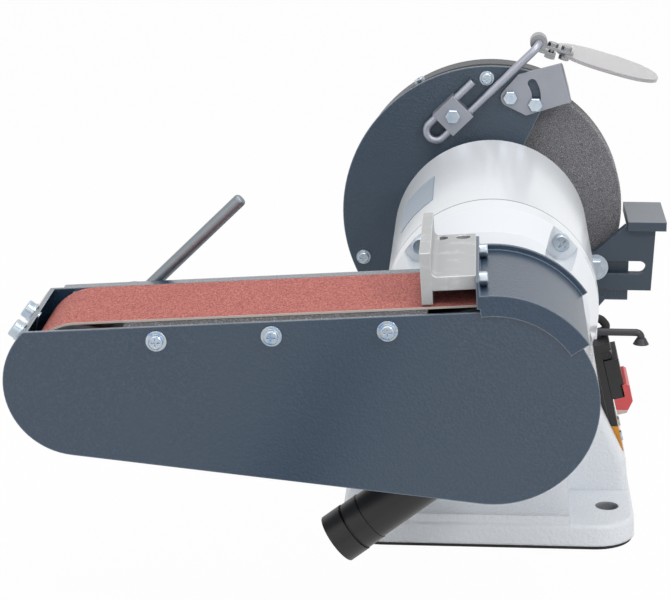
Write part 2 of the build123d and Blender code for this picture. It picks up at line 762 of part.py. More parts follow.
far_inner = FAR_FACE - BELL_WALL
far_floor = FAR_FACE - FAR_POCKET_DEPTH
far_hollow = bell_hollow(
    [
        (SHELL_FAR, 0),
        (SHELL_FAR, SHELL_R - SHELL_WALL),
        (SHELL_FAR + FAR_CROWN_L, SHELL_R - SHELL_WALL - FAR_CROWN_DROP),
        (FAR_FACE - BELL_SHOULDER_IN - BELL_WALL / 2, SHELL_R - FAR_SHOULDER_DROP - BELL_WALL),
        (far_inner, BELL_FACE_R - BELL_WALL),
        (far_inner, BEARING_R + BELL_WALL),
        (bearing_far - BEARING_BACK, BEARING_R + BELL_WALL),
        (bearing_far - BEARING_BACK, 0),
    ],
    FAR_FACE,
    FAR_BELL_L,
    FAR_BOLT_RING,
    FAR_POCKET_R,
)
with BuildPart() as far_bell:
    with BuildSketch(axial):
        with BuildLine():
            Polyline(
                (SHELL_FAR, 0),
                (SHELL_FAR, SHELL_R),
                (SHELL_FAR + FAR_CROWN_L, SHELL_R - FAR_CROWN_DROP),
                (FAR_FACE - BELL_SHOULDER_IN, SHELL_R - FAR_SHOULDER_DROP),
                (FAR_FACE, BELL_FACE_R),
                (FAR_FACE, 0),
                close=True,
            )
        make_face()
    revolve(axis=SHAFT_AXIS)
    add(far_hollow, mode=Mode.SUBTRACT)
    with BuildSketch(axial):
        section(bearing_far - BEARING_BACK, bearing_far + BEARING_W, 0, BEARING_R + SEAT_FIT)
        section(bearing_far + BEARING_W, FAR_FACE, 0, SHAFT_HOLE_R)
    revolve(axis=SHAFT_AXIS, mode=Mode.SUBTRACT)
    with BuildSketch(face(FAR_FACE)):
        with PolarLocations(FAR_BOLT_RING, BELL_BOLT_COUNT, BELL_BOLT_ANGLE):
            Circle(FAR_POCKET_R)
    extrude(amount=FAR_POCKET_DEPTH, mode=Mode.SUBTRACT)
    with BuildSketch(face(far_floor)):
        with PolarLocations(FAR_BOLT_RING, BELL_BOLT_COUNT, BELL_BOLT_ANGLE):
            Circle(M6_PAN[2] + HOLE_FIT)
    extrude(amount=far_floor - SHELL_FAR, mode=Mode.SUBTRACT)
    with BuildSketch(face(FAR_FACE)):
        with PolarLocations(GUARD_PLATE_RING, GUARD_PLATE_COUNT, GUARD_PLATE_ANGLE):
            Circle(tapped_m6)
    extrude(amount=BELL_WALL, mode=Mode.SUBTRACT)
save(far_bell, "far_bell")

near_bolt = screw(M6_PAN, SHELL_NEAR - near_floor + BELL_BOLT_GRIP, BELL_WASHER_R, "cross")
far_bolt = screw(M6_PAN, far_floor - SHELL_FAR + FAR_BOLT_GRIP, BELL_WASHER_R, "cross")
plate_screw = screw(M6_PAN, GUARD_T + BELL_WALL, 0, "cross")
with BuildPart() as motor_bolts:
    with Locations(face(near_floor)):
        with PolarLocations(BELL_BOLT_RING, BELL_BOLT_COUNT, BELL_BOLT_ANGLE):
            add(near_bolt)
    with Locations(far_side(on_face(far_floor, 0, 0))):
        with PolarLocations(FAR_BOLT_RING, BELL_BOLT_COUNT, 180 - BELL_BOLT_ANGLE):
            add(far_bolt)
    with Locations(far_side(on_face(GUARD_BACK, 0, 0))):
        with PolarLocations(GUARD_PLATE_RING, GUARD_PLATE_COUNT, 180 - GUARD_PLATE_ANGLE):
            add(plate_screw)
save(motor_bolts, "motor_bolts")

# Drive wheel, grinding wheel and what clamps them on the shaft
belt_mid = (BELT_NEAR + BELT_FAR) / 2
roll_near = BELT_NEAR - WHEEL_OVER
roll_far = BELT_FAR + WHEEL_OVER
shaft_bore = SHAFT_END_R + SEAT_FIT
rim_r = DRIVE_R - TYRE_T
turned("drive_wheel", axial, SHAFT_AXIS,
       (roll_near, roll_far, rim_r - DRIVE_RIM_T, rim_r),
       (belt_mid - DRIVE_WEB_T / 2, belt_mid + DRIVE_WEB_T / 2, shaft_bore, rim_r - DRIVE_RIM_T / 2),
       (drive_hub_near, roll_far, shaft_bore, DRIVE_HUB_R),
       (roll_far, bearing_near, shaft_bore, DRIVE_SLEEVE_R))
turned("drive_tyre", axial, SHAFT_AXIS, (roll_near, roll_far, rim_r + SEAT_FIT, DRIVE_R))

with BuildPart() as shaft_nuts:
    for nut_far in (drive_hub_near, wheel_nut_near + SHAFT_NUT_H):
        with BuildSketch(face(nut_far)):
            RegularPolygon(SHAFT_NUT_AF / 2, 6, major_radius=False)
            Circle(shaft_bore, mode=Mode.SUBTRACT)
        extrude(amount=SHAFT_NUT_H)
save(shaft_nuts, "shaft_nuts")

turned("wheel_flanges", axial, SHAFT_AXIS,
       (bearing_far + BEARING_W, WHEEL_NEAR, shaft_bore, FLANGE_SLEEVE_R),
       (WHEEL_NEAR - FLANGE_T, WHEEL_NEAR, shaft_bore, FLANGE_R),
       (WHEEL_FAR, wheel_nut_near, shaft_bore, FLANGE_R))

with BuildPart() as grinding_wheel:
    with BuildSketch(face(WHEEL_FAR)):
        Circle(WHEEL_R)
        Circle(shaft_bore, mode=Mode.SUBTRACT)
    extrude(amount=WHEEL_T)
    chamfer(grinding_wheel.edges().filter_by(GeomType.CIRCLE).sort_by(SortBy.RADIUS)[-2:], WHEEL_EDGE)
save(grinding_wheel, "grinding_wheel")

# Arm: hub on the bell's spigot, back plate with its band, and front cover
hub_far = NEAR_FACE - HUB_CLEAR
hub_step = TRAY_BACK + HUB_FLANGE_T
hub_bolt_z = -HUB_R - HUB_LUG_DROP / 2
hub_bolt_y = hub_far - HUB_LUG_L / 2
with BuildPart() as arm_hub:
    with BuildSketch(axial):
        section(TRAY_BACK, hub_step, SPIGOT_R + RUN_FIT, HUB_FLANGE_R)
        section(hub_step, hub_far, SPIGOT_R + RUN_FIT, HUB_R)
    revolve(axis=SHAFT_AXIS)
    with BuildSketch(face(hub_far)):
        block(-HUB_LUG_W / 2, HUB_LUG_W / 2, -HUB_R - HUB_LUG_DROP, -(HUB_R + SPIGOT_R) / 2)
    extrude(amount=HUB_LUG_L)
    with BuildSketch(face(hub_far)):
        block(-HUB_SLIT / 2, HUB_SLIT / 2, -HUB_R - HUB_LUG_DROP, -SPIGOT_R + HUB_SLIT)
    extrude(amount=hub_far - hub_step, mode=Mode.SUBTRACT)
    with BuildSketch(Plane(origin=on_face(hub_bolt_y, HUB_LUG_W / 2, hub_bolt_z), z_dir=(-1, 0, 0))):
        Circle(M8_HEX[2] + HOLE_FIT)
    extrude(amount=HUB_LUG_W, mode=Mode.SUBTRACT)
    with BuildSketch(arm_face(hub_step)):
        with PolarLocations(HUB_SCREW_RING, HUB_SCREW_COUNT, HUB_SCREW_ANGLE):
            Circle(tapped_m5)
    extrude(amount=HUB_FLANGE_T, mode=Mode.SUBTRACT)
save(arm_hub, "arm_hub")

clamp_screw = screw(M8_HEX, HUB_LUG_W, 0, "hex_head")
with BuildPart() as arm_clamp_bolt:
    with Locations(Plane(origin=on_face(hub_bolt_y, HUB_LUG_W / 2, hub_bolt_z), z_dir=(1, 0, 0))):
        add(clamp_screw)
save(arm_clamp_bolt, "arm_clamp_bolt")

tray_top = BELT_TOP - 2 * COVER_DROP
cover_top = BELT_TOP - COVER_DROP
screw_line = BELT_TOP - COVER_SCREW_DROP
carriage_far = TRAY_FRONT - SLIDE_FIT
carriage_near = carriage_far - CARRIAGE_T
carriage_left = -ARM_L - CARRIAGE_BACK
carriage_right = -ARM_L + CARRIAGE_FRONT
pivot_u = -ARM_L + LEVER_PIVOT_BACK
half_turn = radians(LEVER_TURN / 2)
throw = CARRIAGE_TRAVEL / 2 / sin(half_turn)
cam_u = pivot_u - throw * sin(half_turn)
cam_w = LEVER_PIVOT_UP - throw * cos(half_turn)
spring_end = carriage_right + SPRING_L
hub_step_angle = 360 / HUB_SCREW_COUNT
hub_angles = [HUB_SCREW_ANGLE + hub_step_angle * i for i in range(HUB_SCREW_COUNT)]
hub_spots = [polar(HUB_SCREW_RING, angle) for angle in hub_angles]
guide_spots = [(-ARM_L + along, -GUIDE_DROP) for along in GUIDE_SPOTS]
platen_spots = [(-PLATEN_SCREW_FIRST - PLATEN_SCREW_PITCH * i, screw_line) for i in range(2)]
cover_spots = [(-COVER_SCREW_FIRST - COVER_SCREW_PITCH * i, screw_line) for i in range(COVER_SCREW_COUNT)]
port_dir = (-cos(radians(PORT_ANGLE)), 0, -sin(radians(PORT_ANGLE)))
port_root = on_face(belt_mid, PORT_X, -PORT_ROOT)
port_plane = Plane(origin=port_root, x_dir=(0, 1, 0), z_dir=port_dir)
idler_centre = arm_face(0).from_local_coords((-ARM_L, 0, 0))


def end_screw_plane(y):
    """Plane on the outside of the end wall, facing outward at the end screws' angle."""
    out_x, out_z = polar(1, END_SCREW_ANGLE)
    reach = COVER_IDLER_R
    return Plane(
        origin=(idler_centre.X + out_x * reach, y, idler_centre.Z + out_z * reach),
        z_dir=(out_x, 0, out_z),
    )


end_screw_planes = [end_screw_plane(COVER_BACK + along) for along in END_SCREW_IN]
with BuildPart() as belt_tray:
    with BuildSketch(arm_face(TRAY_BACK)):
        loop(COVER_DRIVE_R, COVER_IDLER_R)
    extrude(amount=TRAY_T)
    with BuildSketch(arm_face(TRAY_FRONT)):
        loop(COVER_DRIVE_R, COVER_IDLER_R)
    extrude(amount=TRAY_FRONT - COVER_BACK)
    with BuildSketch(arm_face(TRAY_FRONT)):
        loop(COVER_DRIVE_R - BAND_T, COVER_IDLER_R - BAND_T)
    extrude(amount=TRAY_FRONT - COVER_BACK, mode=Mode.SUBTRACT)
    with BuildSketch(run_face(TRAY_BACK)):
        block(-2 * ARM_L, ARM_L, tray_top, ARM_L)
    extrude(amount=TRAY_BACK - COVER_BACK, mode=Mode.SUBTRACT)
    with BuildSketch(run_face(TRAY_BACK + TRAY_LIP)):
        block(-RUN_L - COVER_IDLER_R / 2, STOP_X + STOP_T + STOP_WEB / 2, tray_top - TRAY_T, tray_top)
    extrude(amount=TRAY_LIP)
    with BuildSketch(arm_face(TRAY_FRONT)):
        block(spring_end, spring_end + SPRING_LUG_T, -SPRING_LUG_W / 2, SPRING_LUG_W / 2)
    extrude(amount=SPRING_LUG_OUT)
    with BuildSketch(arm_face(TRAY_BACK)):
        Circle(SPIGOT_R)
        with Locations(*hub_spots):
            Circle(M5_PAN[2] + HOLE_FIT)
        with Locations(*guide_spots):
            Circle(GUIDE_RIVET_R + SEAT_FIT)
        with Locations((pivot_u, LEVER_PIVOT_UP)):
            Circle(LEVER_PIN_R + RUN_FIT)
    extrude(amount=TRAY_T, mode=Mode.SUBTRACT)
    with BuildSketch(run_face(TRAY_BACK)):
        with Locations(*platen_spots):
            Circle(M5_PAN[2] + HOLE_FIT)
    extrude(amount=TRAY_T, mode=Mode.SUBTRACT)
    with BuildSketch(port_plane.offset(-PORT_SINK)):
        Circle(PORT_BORE_R)
    extrude(amount=PORT_L, mode=Mode.SUBTRACT)
    with BuildSketch(*end_screw_planes):
        Circle(M6_PAN[2] + HOLE_FIT)
    extrude(amount=-2 * BAND_T, mode=Mode.SUBTRACT)
save(belt_tray, "belt_tray")

with BuildPart() as belt_cover:
    with BuildSketch(arm_face(COVER_BACK)):
        loop(COVER_DRIVE_R, COVER_IDLER_R)
    extrude(amount=COVER_T)
    with BuildSketch(run_face(COVER_BACK)):
        block(-2 * ARM_L, ARM_L, cover_top, ARM_L)
        with Locations(*cover_spots):
            Circle(M5_PAN[2] + HOLE_FIT)
    extrude(amount=COVER_T, mode=Mode.SUBTRACT)
save(belt_cover, "belt_cover")

cover_screw = screw(M5_PAN, COVER_T + PLATEN_T, COVER_WASHER_R, "cross")
with BuildPart() as cover_screws:
    with Locations(run_face(COVER_FRONT)):
        with Locations(*cover_spots):
            add(cover_screw)
save(cover_screws, "cover_screws")

hub_screw = screw(M5_PAN, TRAY_T + HUB_FLANGE_T, 0, "cross")
platen_screw = screw(M5_PAN, TRAY_T + PLATEN_T, 0, "cross")
end_screw = screw(M6_PAN, 2 * BAND_T, END_WASHER_R, "cross")
with BuildPart() as arm_screws:
    with Locations(arm_face(TRAY_FRONT)):
        with Locations(*hub_spots):
            add(hub_screw)
    for spot_x, spot_y in platen_spots:
        with Locations(far_side(run_face(TRAY_BACK).from_local_coords((spot_x, spot_y, 0)))):
            add(platen_screw)
    with Locations(*end_screw_planes):
        add(end_screw)
save(arm_screws, "arm_screws")

# Belt, platen with its graphite strip, and the idler on its carriage
with BuildPart() as sanding_belt:
    with BuildSketch(arm_face(BELT_FAR)):
        loop(belt_drive_r, belt_idler_r)
        offset(amount=-BELT_T, mode=Mode.SUBTRACT)
    extrude(amount=BELT_W)
save(sanding_belt, "sanding_belt")

platen_top = DRIVE_R + BELT_GAP - PAD_CLEAR - PLATEN_PAD_T
platen_left = -RUN_L + PLATEN_END
platen_low = platen_top - PLATEN_FLANGE
far_left = -RUN_L + CARRIAGE_FRONT + 2 * CARRIAGE_TRAVEL
with BuildPart() as platen:
    with BuildSketch(run_face(BELT_FAR + PLATEN_OVER)):
        block(platen_left, -PLATEN_START, platen_top - PLATEN_T, platen_top)
    extrude(amount=BELT_FAR + PLATEN_OVER - COVER_BACK)
    with BuildSketch(run_face(TRAY_FRONT)):
        block(far_left, -PLATEN_START, platen_top - PLATEN_T, platen_top)
    extrude(amount=TRAY_FRONT - COVER_BACK)
    with BuildSketch(run_face(COVER_BACK + PLATEN_T)):
        block(platen_left, -PLATEN_START, platen_low, platen_top)
    extrude(amount=PLATEN_T)
    with BuildSketch(run_face(TRAY_FRONT)):
        block(far_left, -PLATEN_START, platen_low, platen_top)
    extrude(amount=PLATEN_T)
    with BuildSketch(run_face(COVER_BACK + PLATEN_T)):
        with Locations(*cover_spots):
            Circle(tapped_m5)
    extrude(amount=PLATEN_T, mode=Mode.SUBTRACT)
    with BuildSketch(run_face(TRAY_FRONT)):
        with Locations(*platen_spots):
            Circle(tapped_m5)
    extrude(amount=PLATEN_T, mode=Mode.SUBTRACT)
save(platen, "platen")

with BuildPart() as graphite_pad:
    with BuildSketch(run_face(BELT_FAR + PLATEN_OVER)):
        block(platen_left, -PLATEN_START, platen_top, platen_top + PLATEN_PAD_T)
    extrude(amount=BELT_FAR + PLATEN_OVER - COVER_BACK)
save(graphite_pad, "graphite_pad")

guide_slot = 2 * (GUIDE_R + SLIDE_FIT)
with BuildPart() as carriage:
    with BuildSketch(arm_face(carriage_far)):
        block(carriage_left, carriage_right, -CARRIAGE_LOW, CARRIAGE_HIGH)
        with Locations((-ARM_L, 0)):
            Circle(AXLE_R + SEAT_FIT, mode=Mode.SUBTRACT)
        with Locations((cam_u, (LEVER_PIVOT_UP - throw + cam_w) / 2)):
            window = 2 * (ECCENTRIC_R + SLIDE_FIT)
            Rectangle(window, window + throw - LEVER_PIVOT_UP + cam_w, mode=Mode.SUBTRACT)
        for guide_u, guide_w in guide_spots:
            with Locations((guide_u - CARRIAGE_TRAVEL / 2, guide_w)):
                SlotOverall(guide_slot + CARRIAGE_TRAVEL, guide_slot, mode=Mode.SUBTRACT)
    extrude(amount=CARRIAGE_T)
save(carriage, "carriage")

with BuildPart() as carriage_guides:
    with BuildSketch(arm_face(TRAY_FRONT)):
        with Locations(*guide_spots):
            Circle(GUIDE_R)
    extrude(amount=2 * SLIDE_FIT + CARRIAGE_T)
    with BuildSketch(arm_face(carriage_near - SLIDE_FIT)):
        with Locations(*guide_spots):
            Circle(GUIDE_HEAD_R)
    extrude(amount=GUIDE_HEAD_T)
    with BuildSketch(arm_face(TRAY_BACK)):
        with Locations(*guide_spots):
            Circle(GUIDE_RIVET_R)
    extrude(amount=TRAY_T)
    with BuildSketch(arm_face(TRAY_BACK + GUIDE_BACK_T)):
        with Locations(*guide_spots):
            Circle(GUIDE_BACK_R)
    extrude(amount=GUIDE_BACK_T)
save(carriage_guides, "carriage_guides")

idler_axial = Plane(origin=idler_centre, x_dir=(0, 1, 0), z_dir=(1, 0, 0))
IDLER_AXIS = Axis(idler_centre, (0, 1, 0))
turned("idler_axle", idler_axial, IDLER_AXIS,
       (roll_near - SLIDE_FIT - AXLE_HEAD_T, carriage_far, 0, AXLE_R),
       (roll_near - SLIDE_FIT - AXLE_HEAD_T, roll_near - SLIDE_FIT, 0, AXLE_HEAD_R),
       (roll_far + SLIDE_FIT, carriage_near, 0, AXLE_COLLAR_R))
bearing_seat = IDLER_BEARING_R + SEAT_FIT
turned("idler_roller", idler_axial, IDLER_AXIS,
       (roll_near, roll_far, IDLER_R - IDLER_RIM_T, IDLER_R),
       (belt_mid - IDLER_WEB_T / 2, belt_mid + IDLER_WEB_T / 2, bearing_seat, IDLER_R - IDLER_RIM_T / 2),
       (roll_near, roll_far, bearing_seat, bearing_seat + IDLER_HUB_T))
turned("idler_bearings", idler_axial, IDLER_AXIS,
       (roll_near, roll_near + IDLER_BEARING_W, AXLE_R + RUN_FIT, IDLER_BEARING_R),
       (roll_far - IDLER_BEARING_W, roll_far, AXLE_R + RUN_FIT, IDLER_BEARING_R))

lever_near = TRAY_BACK + SLIDE_FIT
lever_root = arm_face(TRAY_BACK + LEVER_OUT).from_local_coords((pivot_u, LEVER_PIVOT_UP, 0))
lever_x, lever_z = polar(1, LEVER_ANGLE)
with BuildPart() as tension_lever:
    with BuildSketch(arm_face(carriage_far)):
        with Locations((cam_u, cam_w)):
            Circle(ECCENTRIC_R)
    extrude(amount=CARRIAGE_T)
    with BuildSketch(arm_face(lever_near)):
        with Locations((pivot_u, LEVER_PIVOT_UP)):
            Circle(LEVER_PIN_R)
    extrude(amount=lever_near - carriage_near)
    with BuildSketch(arm_face(lever_near + LEVER_HUB_L)):
        with Locations((pivot_u, LEVER_PIVOT_UP)):
            Circle(LEVER_HUB_R)
    extrude(amount=LEVER_HUB_L)
    with BuildSketch(Plane(origin=lever_root, z_dir=(lever_x, 0, lever_z))):
        Circle(LEVER_R)
    extrude(amount=LEVER_L)
    tip = tension_lever.faces().sort_by(Axis.Z)[-1]
    fillet(tip.edges(), LEVER_R * 0.6)
save(tension_lever, "tension_lever")

arm_x = arm_face(0).x_dir
spring_root = arm_face((carriage_near + carriage_far) / 2).from_local_coords((carriage_right, 0, 0))
with BuildPart() as tension_spring:
    with BuildSketch(Plane(origin=spring_root, z_dir=arm_x)):
        Circle(SPRING_R)
        Circle(SPRING_R - SPRING_WALL, mode=Mode.SUBTRACT)
    extrude(amount=SPRING_L)
save(tension_spring, "tension_spring")

# Curved guard over the drive wheel, and the work stop that it carries
hood_near = COVER_FRONT - HOOD_T
hood_far = TRAY_BACK + HOOD_T
stop_low = BELT_TOP + STOP_GAP
web_low = HOOD_R + STOP_WEB_UP
web_top = web_low + STOP_WEB_T
stop_right = STOP_X + STOP_T + STOP_WEB
stop_near = BELT_NEAR + STOP_IN
stop_far = stop_near + STOP_L
hood_start = RUN_SLOPE + degrees(acos((stop_right + HOOD_T / 2) / HOOD_R))
run_x = run_face(0).x_dir
run_up = run_face(0).y_dir
stop_screw_spots = [
    run_face(COVER_FRONT + along).from_local_coords((stop_right + HOOD_T, (web_low + web_top) / 2, 0))
    for along in STOP_SCREW_IN
]
with BuildPart() as hood:
    with BuildSketch(face(hood_far)):
        ring_sector(HOOD_R - HOOD_T, HOOD_R, HOOD_END, hood_start)
    extrude(amount=hood_far - hood_near)
    with BuildSketch(face(COVER_FRONT)):
        ring_sector(HOOD_R - HOOD_SKIRT, HOOD_R, HOOD_END, hood_start)
    extrude(amount=HOOD_T)
    with BuildSketch(face(hood_far)):
        ring_sector(HUB_FLANGE_R + HOOD_HUB_GAP, HOOD_R + HOOD_LIP, HOOD_END, hood_start)
    extrude(amount=HOOD_T)
    with BuildSketch(run_face(hood_far)):
        block(stop_right, stop_right + HOOD_T, stop_low, web_top)
    extrude(amount=hood_far - hood_near)
    for spot in stop_screw_spots:
        with BuildSketch(Plane(origin=spot, z_dir=run_x)):
            Circle(M5_CAP[2] + HOLE_FIT)
        extrude(amount=-HOOD_T, mode=Mode.SUBTRACT)
save(hood, "hood")

with BuildPart() as work_stop:
    with BuildSketch(run_face(stop_far)):
        block(STOP_X, STOP_X + STOP_T, stop_low, stop_low + STOP_H)
        block(STOP_X, stop_right, web_low, web_top)
    extrude(amount=STOP_L)
    fillet(work_stop.edges().filter_by(Axis.Y).sort_by_distance(
        run_face(belt_mid).from_local_coords((STOP_X + STOP_T, web_top, 0)))[0], STOP_T / 2)
    for index in range(2):
        hole_x = STOP_X + STOP_HOLE_FIRST + STOP_HOLE_PITCH * index
        hole_at = run_face(stop_far - STOP_HOLE_EDGE).from_local_coords((hole_x, web_top, 0))
        with BuildSketch(Plane(origin=hole_at, z_dir=run_up)):
            Circle(STOP_HOLE_R)
        extrude(amount=-STOP_WEB_T, mode=Mode.SUBTRACT)
    for spot in stop_screw_spots:
        with BuildSketch(Plane(origin=spot, z_dir=run_x).offset(-HOOD_T)):
            Circle(M5_CAP[2] + SEAT_FIT)
        extrude(amount=-STOP_SCREW_L, mode=Mode.SUBTRACT)
save(work_stop, "work_stop")

stop_screw = screw(M5_CAP, HOOD_T + STOP_SCREW_L, 0, "socket")
with BuildPart() as stop_screws:
    for spot in stop_screw_spots:
        with Locations(Plane(origin=spot, z_dir=run_x)):
            add(stop_screw)
save(stop_screws, "stop_screws")

# Dust outlet under the drive wheel, with a push-on adapter
port_pipe = PORT_L - ADAPTER_L
sleeve_l = ADAPTER_L - COLLAR_L - GROOVE_L
with BuildPart() as dust_port:
    with BuildSketch(port_plane.offset(-PORT_SINK)):
        Circle(PORT_R)
    extrude(amount=PORT_SINK + port_pipe)
    with BuildSketch(arm_face(TRAY_FRONT)):
        loop(COVER_DRIVE_R, COVER_IDLER_R)
    extrude(amount=TRAY_FRONT - COVER_BACK, mode=Mode.SUBTRACT)
    with BuildSketch(port_plane.offset(-PORT_SINK)):
        Circle(PORT_BORE_R)
    extrude(amount=PORT_SINK + port_pipe, mode=Mode.SUBTRACT)
save(dust_port, "dust_port")

with BuildPart() as dust_adapter:
    with BuildSketch(port_plane.offset(port_pipe)):
        Circle(SLEEVE_R)
    extrude(amount=sleeve_l)
    with BuildSketch(port_plane.offset(port_pipe + sleeve_l)):
        Circle(SLEEVE_R - GROOVE_DEPTH)
    extrude(amount=GROOVE_L)
    with BuildSketch(port_plane.offset(port_pipe + sleeve_l + GROOVE_L)):
        Circle(ADAPTER_R)
    extrude(amount=COLLAR_L)
    with BuildSketch(port_plane.offset(port_pipe)):
        Circle(PORT_BORE_R)
    extrude(amount=ADAPTER_L, mode=Mode.SUBTRACT)
save(dust_adapter, "dust_adapter")

# Wheel guard: plate on the far bell, band round the wheel and outer cover
band_r = GUARD_R - BAND_INSET
rim_outer = band_r - BAND_WALL - SEAT_FIT
rim_screw_y = GUARD_FAR - GUARD_RIM_L + GUARD_RIM_SCREW_IN
guard_spots = [polar(GUARD_SCREW_RING, angle) for angle in GUARD_SCREW_ANGLES]
bolt_x, bolt_z = polar(ARRESTER_BOLT_RADIUS, ARRESTER_BOLT_ANGLE)
arrester_bolt = (ARRESTER_PIVOT[0] + bolt_x, ARRESTER_PIVOT[1] + bolt_z)


def cut_opening():
    """Take the wheel's working opening out of the open sketch."""
    reach = 2 * GUARD_R
    middle = (GUARD_OPEN_LOW + GUARD_OPEN_TOP) / 2
    corners = [polar(reach, angle) for angle in (GUARD_OPEN_LOW, middle, GUARD_OPEN_TOP)]
    Polygon((0, 0), *corners, align=None, mode=Mode.SUBTRACT)


def rim_plane(angle):
    """Plane on the band's outside at an angle, facing outward."""
    out_x, out_z = polar(1, angle)
    return Plane(origin=on_face(rim_screw_y, out_x * band_r, out_z * band_r), z_dir=(out_x, 0, out_z))


rim_planes = [rim_plane(angle) for angle in GUARD_RIM_ANGLES]
with BuildPart() as guard_plate:
    with BuildSketch(face(GUARD_BACK)):
        Circle(GUARD_R + GUARD_LIP)
        cut_opening()
        Circle(GUARD_HUB_R)
        block(*GUARD_TAB_X, *GUARD_TAB_Z)
        Circle(GUARD_BORE_R, mode=Mode.SUBTRACT)
        with Locations(*guard_spots):
            Circle(M5_PAN[2] + HOLE_FIT, mode=Mode.SUBTRACT)
        with PolarLocations(GUARD_PLATE_RING, GUARD_PLATE_COUNT, GUARD_PLATE_ANGLE):
            Circle(M6_PAN[2] + HOLE_FIT, mode=Mode.SUBTRACT)
        with Locations(ARRESTER_PIVOT, arrester_bolt, CLAMP_AT):
            Circle(tapped_m6, mode=Mode.SUBTRACT)
    extrude(amount=GUARD_T)
    with BuildSketch(face(GUARD_BACK + REST_NUT_H)):
        with Locations((REST_BOLT_X, REST_BOLT_Z)):
            RegularPolygon(M8_HEX[0] / 2, 6, major_radius=False)
    extrude(amount=REST_NUT_H)
    with BuildSketch(face(GUARD_BACK + REST_NUT_H)):
        with Locations((REST_BOLT_X, REST_BOLT_Z)):
            Circle(M8_HEX[2] + SEAT_FIT)
    extrude(amount=REST_NUT_H + GUARD_T, mode=Mode.SUBTRACT)
save(guard_plate, "guard_plate")

with BuildPart() as guard_band:
    with BuildSketch(face(GUARD_BACK + BAND_DEPTH)):
        Circle(band_r)
        Circle(band_r - BAND_WALL, mode=Mode.SUBTRACT)
        cut_opening()
    extrude(amount=BAND_DEPTH)
    with BuildSketch(face(GUARD_BACK + BAND_WALL)):
        for angle in GUARD_SCREW_ANGLES:
            with PolarLocations(band_r - BAND_WALL / 2 - GUARD_EAR_IN / 2, 1, angle):
                Rectangle(GUARD_EAR_IN, GUARD_EAR_W)
        with Locations(*guard_spots):
            Circle(tapped_m5, mode=Mode.SUBTRACT)
    extrude(amount=BAND_WALL)
    for plane in rim_planes:
        with BuildSketch(plane):
            Circle(M5_PAN[2] + HOLE_FIT)
        extrude(amount=-2 * BAND_WALL, mode=Mode.SUBTRACT)
save(guard_band, "guard_band")

with BuildPart() as guard_cover:
    with BuildSketch(face(GUARD_FAR)):
        Circle(rim_outer)
        Circle(rim_outer - BAND_WALL, mode=Mode.SUBTRACT)
        cut_opening()
    extrude(amount=GUARD_RIM_L)
    with BuildSketch(face(GUARD_FAR)):
        Circle(rim_outer)
        cut_opening()
        Circle(GUARD_HUB_R)
    extrude(amount=BAND_WALL)
    for plane in rim_planes:
        with BuildSketch(plane):
            Circle(tapped_m5)
        extrude(amount=-3 * BAND_WALL, mode=Mode.SUBTRACT)
save(guard_cover, "guard_cover")

guard_screw = screw(M5_PAN, GUARD_SCREW_L, GUARD_WASHER_R, "cross")
rim_screw = screw(M5_PAN, 2 * BAND_WALL, 0, "cross")
with BuildPart() as guard_screws:
    with Locations(face(FAR_FACE)):
        with Locations(*guard_spots):
            add(guard_screw)
    with Locations(*rim_planes):
        add(rim_screw)
save(guard_screws, "guard_screws")

# Tool rest: one casting whose slotted plate slides on the guard plate
rest_far = FAR_FACE - SLIDE_FIT
rest_near = rest_far - REST_PLATE_T
table_far = FAR_FACE - REST_FRONT + REST_Y
table_left = WHEEL_R + REST_GAP
with BuildPart() as tool_rest:
    with BuildSketch(face(rest_far)):
        with BuildLine():
            Polyline(*REST_OUTLINE, close=True)
        make_face()
    extrude(amount=REST_PLATE_T)
    with BuildSketch(face(table_far)):
        block(table_left, table_left + REST_X, -REST_DROP - REST_T, -REST_DROP)
    extrude(amount=REST_Y)
    with BuildSketch(face(rest_far)):
        with Locations(((REST_SLOT[0] + REST_SLOT[1]) / 2, REST_BOLT_Z)):
            SlotCenterToCenter(REST_SLOT[1] - REST_SLOT[0], 2 * REST_SLOT_R)
    extrude(amount=REST_PLATE_T, mode=Mode.SUBTRACT)
save(tool_rest, "tool_rest")

rest_screw = screw(M8_HEX, 2 * SLIDE_FIT + REST_PLATE_T + GUARD_T + REST_NUT_H,
                   REST_WASHER_R, "hex_head")
with BuildPart() as rest_bolt:
    with Locations(face(rest_near - SLIDE_FIT)):
        with Locations((REST_BOLT_X, REST_BOLT_Z)):
            add(rest_screw)
save(rest_bolt, "rest_bolt")

